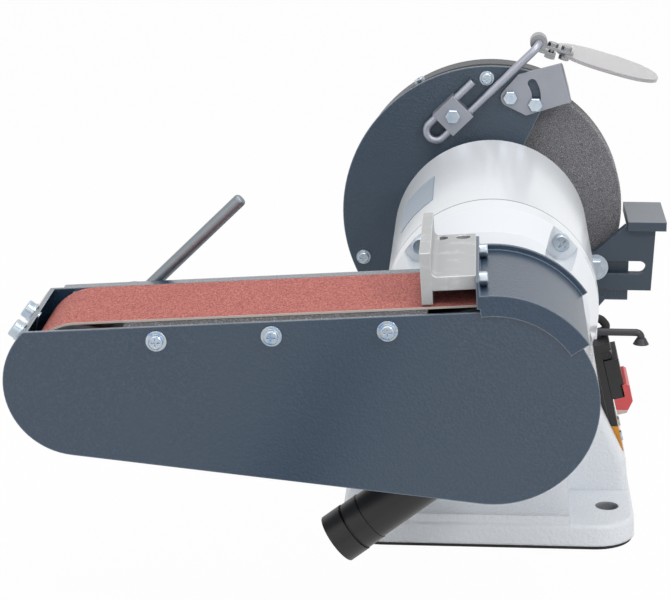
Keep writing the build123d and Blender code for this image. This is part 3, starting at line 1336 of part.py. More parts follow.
# Spark arrester: plate that tilts on its upper bolt, with a flange over the wheel
arrester_far = FAR_FACE - SLIDE_FIT
arrester_near = arrester_far - ARRESTER_T
slot_from = ARRESTER_BOLT_ANGLE - ARRESTER_LIFT
slot_arc = CenterArc(ARRESTER_PIVOT, ARRESTER_BOLT_RADIUS, slot_from, ARRESTER_SLOT_TO - slot_from)
fold_low = Vector(*ARRESTER_OUTLINE[1])
fold_high = Vector(*ARRESTER_OUTLINE[2])
fold_dir = (fold_high - fold_low).normalized()
fold_mid = (fold_low + fold_high) / 2
flange_low, flange_high = [fold_low + fold_dir * along for along in ARRESTER_FLANGE_SPAN]
flange_in = fold_dir.rotate(Axis.Z, 90) * ARRESTER_T
with BuildPart() as spark_arrester:
    with BuildSketch(face(arrester_far)):
        with Locations(ARRESTER_PIVOT):
            Circle(ARRESTER_TIP_R)
        with BuildLine():
            Polyline(*ARRESTER_OUTLINE, close=True)
        make_face()
        make_hull()
        with Locations(ARRESTER_PIVOT):
            Circle(M6_HEX[2] + RUN_FIT, mode=Mode.SUBTRACT)
        SlotArc(slot_arc, 2 * ARRESTER_SLOT_R, mode=Mode.SUBTRACT)
    extrude(amount=ARRESTER_T)
    with BuildSketch(face(arrester_near + ARRESTER_FLANGE)):
        with BuildLine():
            Polyline(flange_low, flange_high, flange_high + flange_in, flange_low + flange_in, close=True)
        make_face()
    extrude(amount=ARRESTER_FLANGE)
    fold = spark_arrester.edges().sort_by_distance(on_face(arrester_near, fold_mid.X, fold_mid.Y))[0]
    fillet(fold, ARRESTER_FOLD_R)
save(spark_arrester, "spark_arrester")

# Eye shield on a hairpin rod that slides through a clamp block
rod_y = FAR_FACE - CLAMP_T / 2
rod_x, rod_z = polar(1, ROD_ANGLE)


def rod_point(along, across, y):
    """Point by its distance along the rod's legs and across them from the clamp's middle."""
    return on_face(
        y,
        CLAMP_AT[0] + along * rod_x - across * rod_z,
        CLAMP_AT[1] + along * rod_z + across * rod_x,
    )


leg = ROD_SPACING / 2
with BuildPart() as rod_clamp:
    with BuildSketch(face(FAR_FACE)):
        with Locations(Location((CLAMP_AT[0], CLAMP_AT[1], 0), (0, 0, ROD_ANGLE))):
            Rectangle(CLAMP_SIZE, CLAMP_W)
            Circle(M6_HEX[2] + HOLE_FIT, mode=Mode.SUBTRACT)
    extrude(amount=CLAMP_T)
    for side in (-leg, leg):
        with BuildSketch(Plane(origin=rod_point(-CLAMP_SIZE / 2, side, rod_y), z_dir=(rod_x, 0, rod_z))):
            Circle(ROD_R + RUN_FIT)
        extrude(amount=CLAMP_SIZE, mode=Mode.SUBTRACT)
save(rod_clamp, "rod_clamp")

with BuildPart() as shield_rod:
    with BuildLine() as rod_path:
        short_leg = Line(rod_point(ROD_SHORT, leg, rod_y), rod_point(-ROD_BACK, leg, rod_y))
        ThreePointArc(
            short_leg @ 1,
            rod_point(-ROD_BACK - leg, 0, rod_y),
            rod_point(-ROD_BACK, -leg, rod_y),
        )
        FilletPolyline(
            rod_point(-ROD_BACK, -leg, rod_y),
            rod_point(ROD_LONG, -leg, rod_y),
            rod_point(ROD_LONG, -leg, rod_y + ROD_END),
            radius=ROD_BEND_R,
        )
    with BuildSketch(Plane(origin=short_leg @ 0, z_dir=short_leg % 0)):
        Circle(ROD_R)
    sweep(path=rod_path.line)
save(shield_rod, "shield_rod")

arrester_screw = screw(M6_HEX, 2 * SLIDE_FIT + ARRESTER_T + GUARD_T, 0, "hex_head")
clamp_screw_m6 = screw(M6_HEX, CLAMP_T + GUARD_T, 0, "hex_head")
with BuildPart() as guard_bolts:
    with Locations(face(arrester_near - SLIDE_FIT)):
        with Locations(ARRESTER_PIVOT, arrester_bolt):
            add(arrester_screw)
    with Locations(face(FAR_FACE - CLAMP_T)):
        with Locations(CLAMP_AT):
            add(clamp_screw_m6)
save(guard_bolts, "guard_bolts")

hinge_x, _, hinge_z = rod_point(ROD_LONG, -leg, 0)
shield_slope = radians(SHIELD_TILT)
ring_near = rod_y + ROD_BEND_R + SHIELD_RING_GAP


def shield_face(y):
    """Plane through the shield's hinge whose x axis runs along the lens."""
    return Plane(
        origin=(hinge_x, y, hinge_z),
        x_dir=(cos(shield_slope), 0, -sin(shield_slope)),
        z_dir=(0, -1, 0),
    )


lens_low = -SHIELD_STRIP_T - SHIELD_T
clip_mid = ring_near + SHIELD_RING_L / 2
clip_top = Plane(
    origin=(hinge_x, clip_mid, hinge_z),
    x_dir=shield_face(clip_mid).x_dir,
    z_dir=shield_face(clip_mid).y_dir,
)


def clip_bolt(depth):
    """Hexagon bolt down from the strip's top, with a nut at a depth below it."""
    with BuildPart() as bolt:
        add(screw(M4_HEX, depth, 0, "hex_head"))
        with BuildSketch(Plane.XY.offset(-depth)):
            RegularPolygon(M4_HEX[0] / 2, 6, major_radius=False)
        extrude(amount=-M4_HEX[1])
    return bolt.part


with BuildPart() as shield_clamp:
    with BuildSketch(shield_face(ring_near + SHIELD_RING_L)):
        Circle(SHIELD_RING_R)
        block(0, SHIELD_STRIP_L, -SHIELD_STRIP_T, 0)
        block(0, SHIELD_EAR_L, -SHIELD_RING_R, SHIELD_STRIP_T - SHIELD_RING_R)
        Circle(ROD_R + RUN_FIT, mode=Mode.SUBTRACT)
    extrude(amount=SHIELD_RING_L)
    with BuildSketch(clip_top):
        with Locations((SHIELD_PINCH, 0), (SHIELD_BOLT, 0)):
            Circle(M4_HEX[2] + HOLE_FIT)
    extrude(amount=-SHIELD_RING_R, mode=Mode.SUBTRACT)
    with Locations(clip_top.offset(SEAT_FIT)):
        with Locations((SHIELD_PINCH, 0)):
            add(clip_bolt(SHIELD_RING_R + 2 * SEAT_FIT))
        with Locations((SHIELD_BOLT, 0)):
            add(clip_bolt(-lens_low + 2 * SEAT_FIT))
save(shield_clamp, "shield_clamp")

lens_frame = shield_face((WHEEL_NEAR + WHEEL_FAR) / 2)
lens_origin = lens_frame.from_local_coords((SHIELD_START, lens_low, 0))
with BuildPart() as shield_lens:
    with BuildSketch(Plane(origin=lens_origin, x_dir=lens_frame.x_dir, z_dir=lens_frame.y_dir)):
        with Locations((SHIELD_LENGTH / 2, 0)):
            RectangleRounded(SHIELD_LENGTH, SHIELD_WIDTH, SHIELD_CORNER)
    extrude(amount=SHIELD_T)
    with BuildSketch(clip_top):
        with Locations((SHIELD_BOLT, 0)):
            Circle(M4_HEX[2] + HOLE_FIT)
    extrude(amount=lens_low, mode=Mode.SUBTRACT)
save(shield_lens, "shield_lens")

# Switch: plate, body, two buttons, and a hinged flap with the stop paddle at its lower end
switch_side = Plane(origin=switch_plane.origin, x_dir=switch_plane.y_dir, z_dir=switch_plane.x_dir)
body_low, body_top = SWITCH_BODY_UP
body_front = SWITCH_PLATE_T + SWITCH_BODY_T
hinge_out = body_front + SLIDE_FIT + HINGE_R
flap_back = body_front + SLIDE_FIT
flap_front = flap_back + FLAP_T
flap_top = HINGE_UP - HINGE_R - SLIDE_FIT
step_front = flap_front - FLAP_STEP
block_up = (SWITCH_PLATE_UP[0], body_low - SLIDE_FIT)
button_spots = [(-BUTTON_PITCH / 2, BUTTON_UP), (BUTTON_PITCH / 2, BUTTON_UP)]
screw_spots = [(side * SWITCH_SCREW_PITCH / 2, sum(block_up) / 2) for side in (-1, 1)]


def across(width):
    """Plane of the switch's side outline, half the width to the near side."""
    return switch_side.offset(-width / 2)


with BuildPart() as switch_plate:
    with BuildSketch(switch_plane):
        switch_block(SWITCH_PLATE_W, *SWITCH_PLATE_UP)
    extrude(amount=SWITCH_PLATE_T)
    with BuildSketch(switch_plane):
        switch_block(SWITCH_PLATE_W, *block_up)
    extrude(amount=body_front)
    with BuildSketch(switch_plane):
        with Locations(*screw_spots):
            Circle(M4_LOW[2] + SEAT_FIT)
    extrude(amount=body_front, mode=Mode.SUBTRACT)
save(switch_plate, "switch_plate")

switch_screw = screw(M4_LOW, body_front, 0, "cross")
with BuildPart() as switch_screws:
    with Locations(switch_plane.offset(body_front)):
        with Locations(*screw_spots):
            add(switch_screw)
save(switch_screws, "switch_screws")

lug_at = HINGE_L / 2 + SLIDE_FIT + HINGE_LUG_T / 2
hinge_line = Plane(
    origin=switch_plane.from_local_coords((0, HINGE_UP, hinge_out)),
    x_dir=switch_plane.y_dir,
    z_dir=switch_plane.x_dir,
)
with BuildPart() as switch_body:
    with BuildSketch(switch_plane.offset(SWITCH_PLATE_T)):
        switch_block(SWITCH_BODY_W, *SWITCH_BODY_UP)
    extrude(amount=SWITCH_BODY_T)
    with BuildSketch(switch_plane.offset(body_front)):
        switch_block(SWITCH_BODY_W, HINGE_UP + HINGE_R + SLIDE_FIT, body_top)
    extrude(amount=SLIDE_FIT + 2 * HINGE_R)
    with BuildSketch(switch_plane.offset(body_front)):
        with Locations((-lug_at, HINGE_UP), (lug_at, HINGE_UP)):
            Rectangle(HINGE_LUG_T, 2 * HINGE_R)
    extrude(amount=SLIDE_FIT + HINGE_R)
    for side in (-lug_at, lug_at):
        with BuildSketch(hinge_line.offset(side - HINGE_LUG_T / 2)):
            Circle(HINGE_R)
        extrude(amount=HINGE_LUG_T)
    with BuildSketch(hinge_line.offset(-SWITCH_BODY_W / 2)):
        Circle(HINGE_PIN_R + RUN_FIT)
    extrude(amount=SWITCH_BODY_W, mode=Mode.SUBTRACT)
    with BuildSketch(switch_plane.offset(body_front)):
        with Locations(*button_spots):
            Circle(BUTTON_R + SLIDE_FIT)
    extrude(amount=BUTTON_FLOOR - SWITCH_BODY_T, mode=Mode.SUBTRACT)
save(switch_body, "switch_body")


def button(name, spot):
    """Push button that stands a little proud of the switch body."""
    base = SWITCH_PLATE_T + BUTTON_FLOOR + BUTTON_TRAVEL + SLIDE_FIT
    with BuildPart() as piece:
        with BuildSketch(switch_plane.offset(base)):
            with Locations(spot):
                Circle(BUTTON_R)
        extrude(amount=body_front + BUTTON_RISE - base)
    save(piece, name)


button("stop_button", button_spots[0])
button("start_button", button_spots[1])


def flap_outline(skin):
    """Side outline of the flap, or of its hollow, with the lower end stepped back for the paddle."""
    step = FLAP_STEP_UP + skin
    Polygon(
        (FLAP_LOW + skin, flap_back),
        (flap_top - skin, flap_back),
        (flap_top - skin, flap_front - skin),
        (step, flap_front - skin),
        (step, step_front - skin),
        (FLAP_LOW + skin, step_front - skin),
        align=None,
    )


paddle_back = body_front + PADDLE_TRAVEL + SLIDE_FIT
paddle_lip = step_front + PADDLE_TRAVEL + SLIDE_FIT
paddle_front = paddle_lip + PADDLE_T
paddle_neck = FLAP_LOW - SLIDE_FIT
hook_low = FLAP_LOW + FLAP_SKIN + SLIDE_FIT
tongue_w, tongue_t = PADDLE_TONGUE
with BuildPart() as switch_flap:
    with BuildSketch(across(SWITCH_BODY_W)):
        flap_outline(0)
    extrude(amount=SWITCH_BODY_W)
    with BuildSketch(across(SWITCH_BODY_W - 2 * FLAP_SKIN)):
        flap_outline(FLAP_SKIN)
    extrude(amount=SWITCH_BODY_W - 2 * FLAP_SKIN, mode=Mode.SUBTRACT)
    with BuildSketch(switch_plane.offset(flap_back)):
        switch_block(tongue_w + 2 * SLIDE_FIT, FLAP_LOW, FLAP_LOW + FLAP_SKIN)
    extrude(amount=paddle_back + tongue_t + SLIDE_FIT - flap_back, mode=Mode.SUBTRACT)
    with BuildSketch(switch_plane.offset(flap_back)):
        switch_block(HINGE_L, flap_top - FLAP_SKIN, HINGE_UP)
    extrude(amount=2 * HINGE_R)
    with BuildSketch(hinge_line.offset(-HINGE_L / 2)):
        Circle(HINGE_R)
    extrude(amount=HINGE_L)
    with BuildSketch(hinge_line.offset(-lug_at - HINGE_LUG_T / 2)):
        Circle(HINGE_PIN_R)
    extrude(amount=2 * lug_at + HINGE_LUG_T)
save(switch_flap, "switch_flap")

paddle_low, paddle_top = PADDLE_UP
with BuildPart() as stop_paddle:
    with BuildSketch(across(SWITCH_BODY_W)):
        Polygon(
            (paddle_low, paddle_back),
            (paddle_neck, paddle_back),
            (paddle_neck, paddle_lip),
            (paddle_top, paddle_lip),
            (paddle_top, paddle_front - PADDLE_EDGE),
            (paddle_top - PADDLE_EDGE, paddle_front),
            (paddle_low + PADDLE_CHIN, paddle_front),
            (paddle_low, step_front),
            align=None,
        )
    extrude(amount=SWITCH_BODY_W)
    with BuildSketch(switch_plane.offset(paddle_back)):
        switch_block(tongue_w, paddle_neck, hook_low)
        switch_block(PADDLE_HOOK[0], hook_low, hook_low + PADDLE_HOOK[1])
    extrude(amount=tongue_t)
save(stop_paddle, "stop_paddle")

# Cable from the motor to the switch, and its glands and the mains inlet
motor_gland_z = SHAFT_HEIGHT - GLAND_DROP
cable_end = switch_plane.from_local_coords((0, body_top + GLAND_RISE, hinge_out))
cable_points = [
    (GLAND_X, SWITCH_Y, motor_gland_z),
    (GLAND_X + CABLE_OUT[0], SWITCH_Y, motor_gland_z),
    (GLAND_X + CABLE_OUT[1], SWITCH_Y, motor_gland_z - CABLE_FALL),
    tuple(cable_end),
]
cable_radii = []
for before, corner, past in zip(cable_points, cable_points[1:], cable_points[2:]):
    into = Vector(*corner) - Vector(*before)
    out = Vector(*past) - Vector(*corner)
    turn = radians(into.get_angle(out))
    cable_radii.append(0.45 * min(into.length, out.length) / tan(turn / 2))
cable_in = (cable_end - Vector(*cable_points[-2])).normalized()
with BuildPart() as motor_cable:
    with BuildLine() as cable_path:
        FilletPolyline(*cable_points, radius=cable_radii)
    with BuildSketch(Plane(origin=cable_points[0], z_dir=(1, 0, 0))):
        Circle(CABLE_R)
    sweep(path=cable_path.line)
save(motor_cable, "motor_cable")

inlet_x = -column_half(INLET_Z)
body_top_point = switch_plane.from_local_coords((0, body_top, 0))
with BuildPart() as cable_glands:
    with BuildSketch(Plane(origin=cable_end, z_dir=cable_in)):
        Circle(GLAND_R)
    extrude(amount=GLAND_L)
    with BuildSketch(Plane(origin=body_top_point, z_dir=-switch_plane.y_dir)):
        Circle(SWITCH_BODY_W)
    extrude(amount=body_top - body_low, mode=Mode.SUBTRACT)
    add(switch_plate.part, mode=Mode.SUBTRACT)
    with BuildSketch(Plane(origin=(GLAND_X, SWITCH_Y, motor_gland_z), z_dir=(-1, 0, 0))):
        Circle(GLAND_R)
    extrude(amount=GLAND_L)
    add(motor_shell.part, mode=Mode.SUBTRACT)
    with BuildSketch(Plane(origin=(inlet_x - INLET_L, INLET_Y, INLET_Z), z_dir=(1, 0, 0))):
        Circle(INLET_R)
    extrude(amount=INLET_L + BASE_WALL / 2)
    with BuildSketch(Plane(origin=(inlet_x - INLET_L, INLET_Y, INLET_Z), z_dir=(1, 0, 0))):
        Circle(INLET_BORE_R)
    extrude(amount=INLET_L - BASE_WALL / 2, mode=Mode.SUBTRACT)
    add(base_casting.part, mode=Mode.SUBTRACT)
save(cable_glands, "cable_glands")

# Small lamp on a bent neck that turns in a socket on the shell
lamp_x = shell_side + LAMP_REACH
bell_top = LAMP_Z - LAMP_DROP + LAMP_BELL_L / 2
bell_low = bell_top - LAMP_BELL_L
with BuildPart() as lamp_arm:
    with BuildLine() as neck_path:
        FilletPolyline(
            (LAMP_SOCKET_X - LAMP_PLUG_L, LAMP_Y, LAMP_Z),
            (lamp_x, LAMP_Y, LAMP_Z),
            (lamp_x, LAMP_Y, LAMP_Z - LAMP_DROP),
            radius=LAMP_BEND_R,
        )
    with BuildSketch(Plane(origin=neck_path.line @ 0, z_dir=neck_path.line % 0)):
        Circle(LAMP_R)
    sweep(path=neck_path.line)
    with BuildSketch(Plane(origin=(lamp_x, LAMP_Y, bell_low))):
        Circle(LAMP_BELL_R)
    with BuildSketch(Plane(origin=(lamp_x, LAMP_Y, bell_top))):
        Circle(LAMP_NECK_R)
    loft()
    with BuildSketch(Plane(origin=(lamp_x, LAMP_Y, bell_low))):
        Circle(LAMP_LENS_R + SEAT_FIT)
    extrude(amount=LAMP_LENS_T, mode=Mode.SUBTRACT)
save(lamp_arm, "lamp_arm")

with BuildPart() as lamp_lens:
    with BuildSketch(Plane(origin=(lamp_x, LAMP_Y, bell_low))):
        Circle(LAMP_LENS_R)
    extrude(amount=LAMP_LENS_T)
save(lamp_lens, "lamp_lens")
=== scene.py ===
"""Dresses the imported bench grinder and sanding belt, sets it on a pale floor and aims a camera at it."""

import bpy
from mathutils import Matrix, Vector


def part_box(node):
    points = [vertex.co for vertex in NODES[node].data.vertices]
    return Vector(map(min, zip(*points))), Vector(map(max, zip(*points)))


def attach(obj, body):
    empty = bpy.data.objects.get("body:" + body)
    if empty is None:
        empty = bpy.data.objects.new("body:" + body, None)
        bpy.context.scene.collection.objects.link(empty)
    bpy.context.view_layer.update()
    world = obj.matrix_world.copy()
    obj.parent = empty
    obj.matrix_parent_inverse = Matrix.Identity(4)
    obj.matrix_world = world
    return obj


bl_info = {
    "name": "Bench Grinder and Sanding Belt",
    "version": (1, 0, 0),
    "blender": (4, 5, 0),
    "location": "3D View > Sidebar > Grinder",
    "description": "Finishes and trim for a bench grinder with a tilting sanding belt arm",
    "category": "Object",
}

import bpy
import numpy as np
from mathutils import Euler, Vector

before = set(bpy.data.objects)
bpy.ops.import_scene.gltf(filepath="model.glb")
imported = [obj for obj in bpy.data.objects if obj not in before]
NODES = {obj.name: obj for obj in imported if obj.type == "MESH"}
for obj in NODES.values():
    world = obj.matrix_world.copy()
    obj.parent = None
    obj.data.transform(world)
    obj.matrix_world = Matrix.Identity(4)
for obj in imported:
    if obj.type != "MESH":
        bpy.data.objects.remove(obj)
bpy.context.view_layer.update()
SHAFT_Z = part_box("motor_shaft")[0].z / 2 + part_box("motor_shaft")[1].z / 2
BELT_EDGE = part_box("sanding_belt")[0].y
REST_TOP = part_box("tool_rest")[1].z
WHEEL_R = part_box("grinding_wheel")[1].x
BODY_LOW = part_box("switch_body")[0].z
PADDLE_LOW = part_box("stop_paddle")[0].z
SHELL_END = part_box("motor_shell")[0].y
SHELL_R = 0.070              # radius of the motor shell
BENCH_HOLE = (0.079, 0.113)  # distance of a bench hole from the middle, across and along
BENCH_HOLE_R = 0.0075
# the bench hole walls are coloured darker grey as painted shade inside the holes
HOLE_SKIN = 0.0002           # how far past its radius a hole's wall is coloured
JOINT_LINE = (0.0005, 0.0015)  # where the shell's joint line begins and ends its fade
WEAVE_RATE = 5200.0          # radians per metre of cloth or wire
MOULD_SKIN = 0.0006          # grain width on moulded plastic
FLOOR_DROP = 0.0004          # gap under the base pad
FLOOR_SHOWN = 0.97           # share of plain white where the floor is looked at
LAMP_AIM = (0.0, 0.0, 0.12)
WHITE = (1.0, 1.0, 1.0)
BLACK = (0.0, 0.0, 0.0)


def srgb(red, green, blue):
    """Linear colour of three screen values from 0 to 255."""
    c = np.array((red, green, blue)) / 255.0
    return tuple(np.where(c <= 0.04045, c / 12.92, ((c + 0.055) / 1.055) ** 2.4))


BLUE_BLOOM = srgb(128, 168, 214)
RUBBED_PLASTIC = srgb(230, 214, 204)


def paint_colour(label, red, green, blue):
    """Colour property with its default given in screen values."""
    return bpy.props.FloatVectorProperty(
        name=label, description=f"Colour of the {label.lower()}", subtype="COLOR", size=3,
        min=0.0, max=1.0, default=srgb(red, green, blue))


def number(label, value, text, **more):
    """Number property."""
    return bpy.props.FloatProperty(name=label, description=text, default=value, **more)


def length(label, metres, text):
    """Length property in metres."""
    return number(label, metres, text, min=0.0, unit="LENGTH", precision=5)


def angle(label, degrees, text):
    """Angle property with its default given in degrees."""
    return number(label, np.radians(degrees), text, subtype="ANGLE")


def power(label, watts, text):
    """Lamp power property."""
    return number(label, watts, text, min=0.0, unit="POWER")


class GRINDER_PG_colours(bpy.types.PropertyGroup):
    """Colours of the machine's finishes."""

    enamel: paint_colour("White enamel", 234, 238, 243)
    hammered: paint_colour("Hammered paint", 49, 66, 82)
    hammered_light: paint_colour("Hammered paint crests", 62, 79, 95)
    # lighter paint on the edges: partly rubbed paint, partly a painted highlight line along the rims
    hammered_edge_wear_and_highlight: paint_colour("Rubbed paint edges", 150, 164, 180)
    housing: paint_colour("Belt housing paint", 31, 54, 77)
    housing_light: paint_colour("Belt housing paint crests", 47, 70, 91)
    guard_black: paint_colour("Guard rim paint", 27, 30, 34)
    rest_paint: paint_colour("Tool rest paint", 62, 74, 88)
    rest_table: paint_colour("Rubbed rest table", 130, 135, 143)
    grit_dark: paint_colour("Dark belt grit", 138, 66, 59)
    grit_light: paint_colour("Light belt grit", 216, 136, 127)
    backing: paint_colour("Belt backing", 214, 203, 196)
    graphite: paint_colour("Graphite cloth", 62, 63, 66)
    graphite_speck: paint_colour("Graphite cloth specks", 176, 177, 180)
    casting: paint_colour("Bare casting", 230, 231, 233)
    casting_dull: paint_colour("Dull casting skin", 188, 189, 190)
    zinc: paint_colour("Zinc plate", 196, 206, 214)
    steel: paint_colour("Ground steel", 190, 192, 195)
    chrome: paint_colour("Chrome", 214, 216, 220)
    satin_grey: paint_colour("Satin grey plate", 156, 159, 168)
    wheel_dark: paint_colour("Dark wheel grain", 120, 120, 124)
    wheel_light: paint_colour("Light wheel grain", 180, 180, 184)
    moulding: paint_colour("Black moulding", 28, 28, 30)
    rubber: paint_colour("Black rubber", 34, 34, 35)
    amber: paint_colour("Amber plate", 232, 158, 40)
    red: paint_colour("Red paddle", 226, 84, 86)
    cream: paint_colour("Paddle sole", 226, 200, 192)
    green: paint_colour("Green button", 40, 120, 62)
    shield: paint_colour("Clear shield", 206, 203, 204)
    gunmetal: paint_colour("Gunmetal", 66, 66, 70)
    copper: paint_colour("Varnished wire", 150, 84, 46)
    label: paint_colour("Blank plate", 164, 177, 191)
    seam: paint_colour("Joint line", 128, 132, 138)
    # darker grey on the bench hole walls: painted shade inside the holes
    hole_shade: paint_colour("Drilled metal", 120, 122, 126)
    shield_edge: paint_colour("Shield edge", 214, 208, 234)


class GRINDER_PG_sizes(bpy.types.PropertyGroup):
    """Sizes of the surface detail and of the trim."""

    peel: length("Enamel peel", 0.0022, "Width of one ripple in the white enamel")
    hammer: length("Hammer mark", 0.0014, "Width of one mark in the hammered paint")
    grit: length("Belt grit", 0.00055, "Width of one grain on the belt")
    grain: length("Wheel grain", 0.0011, "Width of one grain of the grinding wheel")
    paddle_sole: length("Paddle sole", 0.0035, "Height of the pale strip under the paddle")
    label_back: number("Plate near end", -0.052, "Near end of the blank plate along the shaft")
    label_front: number("Plate far end", 0.018, "Far end of the blank plate along the shaft")
    label_start: number("Plate start", 125.0, "Degrees round the shaft where the blank plate starts")
    label_end: number("Plate end", 151.0, "Degrees round the shaft where the blank plate ends")
    label_corner: length("Plate corner", 0.001, "Corner radius of the blank plate")
    label_t: length("Plate thickness", 0.0005, "Thickness of the blank plate")


class GRINDER_PG_stage(bpy.types.PropertyGroup):
    """Camera, floor and lights."""

    lens: number("Lens", 124.01, "Focal length on a 36 mm wide sensor", min=1.0)
    pitch: angle("Pitch", 16.27, "Downward tilt of the camera")
    yaw: angle("Yaw", 3.46, "Turn of the camera to the left")
    place: bpy.props.FloatVectorProperty(
        name="Place", description="Camera position", subtype="TRANSLATION", default=(-0.015, -1.5593, 0.5791))
    floor: length("Floor", 12.0, "Side of the square floor")
    # the shade strip is dark only in reflections: it paints a dark reflection band on the glossy belt housing
    shade_x: number("Shade X", -0.148, "Place of the shaded strip of floor, across the shaft")
    shade_y: number("Shade Y", -0.47, "Place of the shaded strip of floor, along the shaft")
    shade_slope: number("Shade slope", 0.091, "How far the strip leans")
    shade_width: length("Shade width", 0.05, "Half the width of the strip that gloss shows dark")
    shade_depth: number("Shade depth", 0.95, "How dark the strip is")
    ambient: number("Ambient", 0.52, "Strength of the room light", min=0.0)
    key: power("Key", 8.5, "Power of the main lamp, at the front left")
    fill: power("Fill", 8.0, "Power of the small lamp at the front right")
    top: power("Top", 9.0, "Power of the lamp above")
    low: power("Low", 3.0, "Power of the low lamp beside the camera")


class Value:
    """A node's output socket. Arithmetic on it adds Math nodes to the same tree."""

    def __init__(self, finish, socket):
        self.finish = finish
        self.socket = socket

    def math(self, operation, *others):
        inputs = dict(enumerate((self, *others)))
        return self.finish.node("ShaderNodeMath", {"operation": operation}, inputs)

    def __add__(self, other):
        return self.math("ADD", other)

    __radd__ = __add__

    def __sub__(self, other):
        return self.math("SUBTRACT", other)

    def __rsub__(self, other):
        return (self * -1.0) + other

    def __mul__(self, other):
        return self.math("MULTIPLY", other)

    __rmul__ = __mul__

    def __pow__(self, other):
        return self.math("POWER", other)

    def __lt__(self, other):
        return self.math("LESS_THAN", other)

    def clamp(self):
        return self.finish.node("ShaderNodeClamp", {}, {"Value": self})

    def between(self, low, high):
        """0 below low and 1 above high, easing in between."""
        return self.finish.node(
            "ShaderNodeMapRange", {"interpolation_type": "SMOOTHSTEP"},
            {"Value": self, "From Min": low, "From Max": high})


class Nodes:
    """A node tree in the making."""

    def __init__(self, tree):
        self.tree = tree

    def node(self, kind, settings=None, inputs=None, out=0):
        """Adds a node of a kind, sets it up, then fills or links its sockets, and gives one output."""
        made = self.tree.nodes.new(kind)
        for key, value in (settings or {}).items():
            setattr(made, key, value)
        for key, value in (inputs or {}).items():
            self.feed(made.inputs[key], value)
        return Value(self, made.outputs[out])

    def feed(self, socket, value):
        if isinstance(value, Value):
            self.tree.links.new(value.socket, socket)
        elif socket.type == "RGBA":
            socket.default_value = (*value[:3], 1.0)
        else:
            socket.default_value = value


class Finish(Nodes):
    """A material in the making: one Principled shader and the nodes that feed it."""

    def __init__(self, name):
        self.material = bpy.data.materials.new(name)
        self.material.use_nodes = True
        super().__init__(self.material.node_tree)
        self.shader = self.tree.nodes["Principled BSDF"]

    def set(self, **values):
        """Fills the shader's sockets, named with underscores for spaces."""
        for key, value in values.items():
            self.feed(self.shader.inputs[key.replace("_", " ")], value)
        return self.material

    def place(self):
        return self.node("ShaderNodeTexCoord", out="Object")

    def axes(self):
        """The three object coordinates as values."""
        split = self.node("ShaderNodeSeparateXYZ", inputs={"Vector": self.place()})
        outputs = split.socket.node.outputs
        return [Value(self, outputs[i]) for i in range(3)]

    def noise(self, width, detail=3.0, rough=0.55, stretch=None):
        """Cloudy pattern from 0 to 1 whose features are about width metres wide."""
        where = self.place()
        if stretch:
            where = self.node("ShaderNodeMapping", inputs={"Vector": where, "Scale": stretch})
        return self.node("ShaderNodeTexNoise", {"noise_dimensions": "3D"},
                         {"Vector": where, "Scale": 1.0 / width, "Detail": detail, "Roughness": rough})

    def cells(self, width, feature="F1", out="Distance"):
        """Cell pattern whose cells are about width metres wide."""
        return self.node("ShaderNodeTexVoronoi", {"feature": feature},
                         {"Vector": self.place(), "Scale": 1.0 / width}, out)

    def shades(self, width):
        """Cells about width metres wide, each of one grey from 0 to 1."""
        return self.node("ShaderNodeRGBToBW", inputs={"Color": self.cells(width, "F1", "Color")})

    def from_shaft(self):
        """Distance from the shaft's axis."""
        x, _, z = self.axes()
        return (x * x + (z - SHAFT_Z) * (z - SHAFT_Z)) ** 0.5

    def mix(self, mask, low, high):
        """Colour that goes from low to high with the mask."""
        made = self.tree.nodes.new("ShaderNodeMix")
        made.data_type = "RGBA"
        self.feed(made.inputs[0], mask)
        self.feed(made.inputs[6], low)
        self.feed(made.inputs[7], high)
        return Value(self, made.outputs[2])

    def soft_edges(self, radius):
        """Normal rounded over sharp edges, and a mask that is 1 along them."""
        rounded = self.node("ShaderNodeBevel", {"samples": 6}, {"Radius": radius})
        flat = self.node("ShaderNodeNewGeometry", out="Normal")
        match = self.node("ShaderNodeVectorMath", {"operation": "DOT_PRODUCT"},
                          {0: rounded, 1: flat}, "Value")
        return rounded, (1.0 - match).between(0.006, 0.12)

    def bump(self, height, strength, depth, normal=None):
        inputs = {"Height": height, "Strength": strength, "Distance": depth}
        if normal is not None:
            inputs["Normal"] = normal
        return self.node("ShaderNodeBump", {}, inputs)


def tint(colour, by):
    """Colour made lighter or darker by a factor."""
    return tuple(min(1.0, c * by) for c in colour)


def bench_holes(f):
    """Mask of the walls of the four bench holes, where painted shade darkens the enamel."""
    x, y, _ = f.axes()
    across = x.math("ABSOLUTE") - BENCH_HOLE[0]
    along = y.math("ABSOLUTE") - BENCH_HOLE[1]
    return (across * across + along * along) ** 0.5 < BENCH_HOLE_R + HOLE_SKIN


def shell_joint(f):
    """Mask of the joint line between the near bell and the shell."""
    return 1.0 - (f.axes()[1] - SHELL_END).math("ABSOLUTE").between(*JOINT_LINE)


def enamel(name, colour, peel, radius, pebble, mark, mark_colour):
    """Glossy white paint on a casting: pebbled skin, faint clouding, soft corners and one darker mark, which
    is the joint line on the motor and painted shade on the bench hole walls on the base.
    """
    f = Finish(name)
    ripple = f.noise(peel, 2.0)
    pores = f.noise(peel / 4, 2.0)
    cloud = f.noise(0.06, 2.0)
    rounded, rim = f.soft_edges(radius)
    base = f.mix(cloud, tint(colour, 0.96), colour)
    base = f.mix(rim * 0.25, base, tint(colour, 0.93))
    f.set(Base_Color=f.mix(mark(f) * 0.8, base, mark_colour), Roughness=0.16 + 0.1 * pores,
          Normal=f.bump(ripple * 0.85 + pores * 0.15, pebble, 0.0009, rounded))
    return f.set(Coat_Weight=0.15, Coat_Roughness=0.1, IOR=1.5)


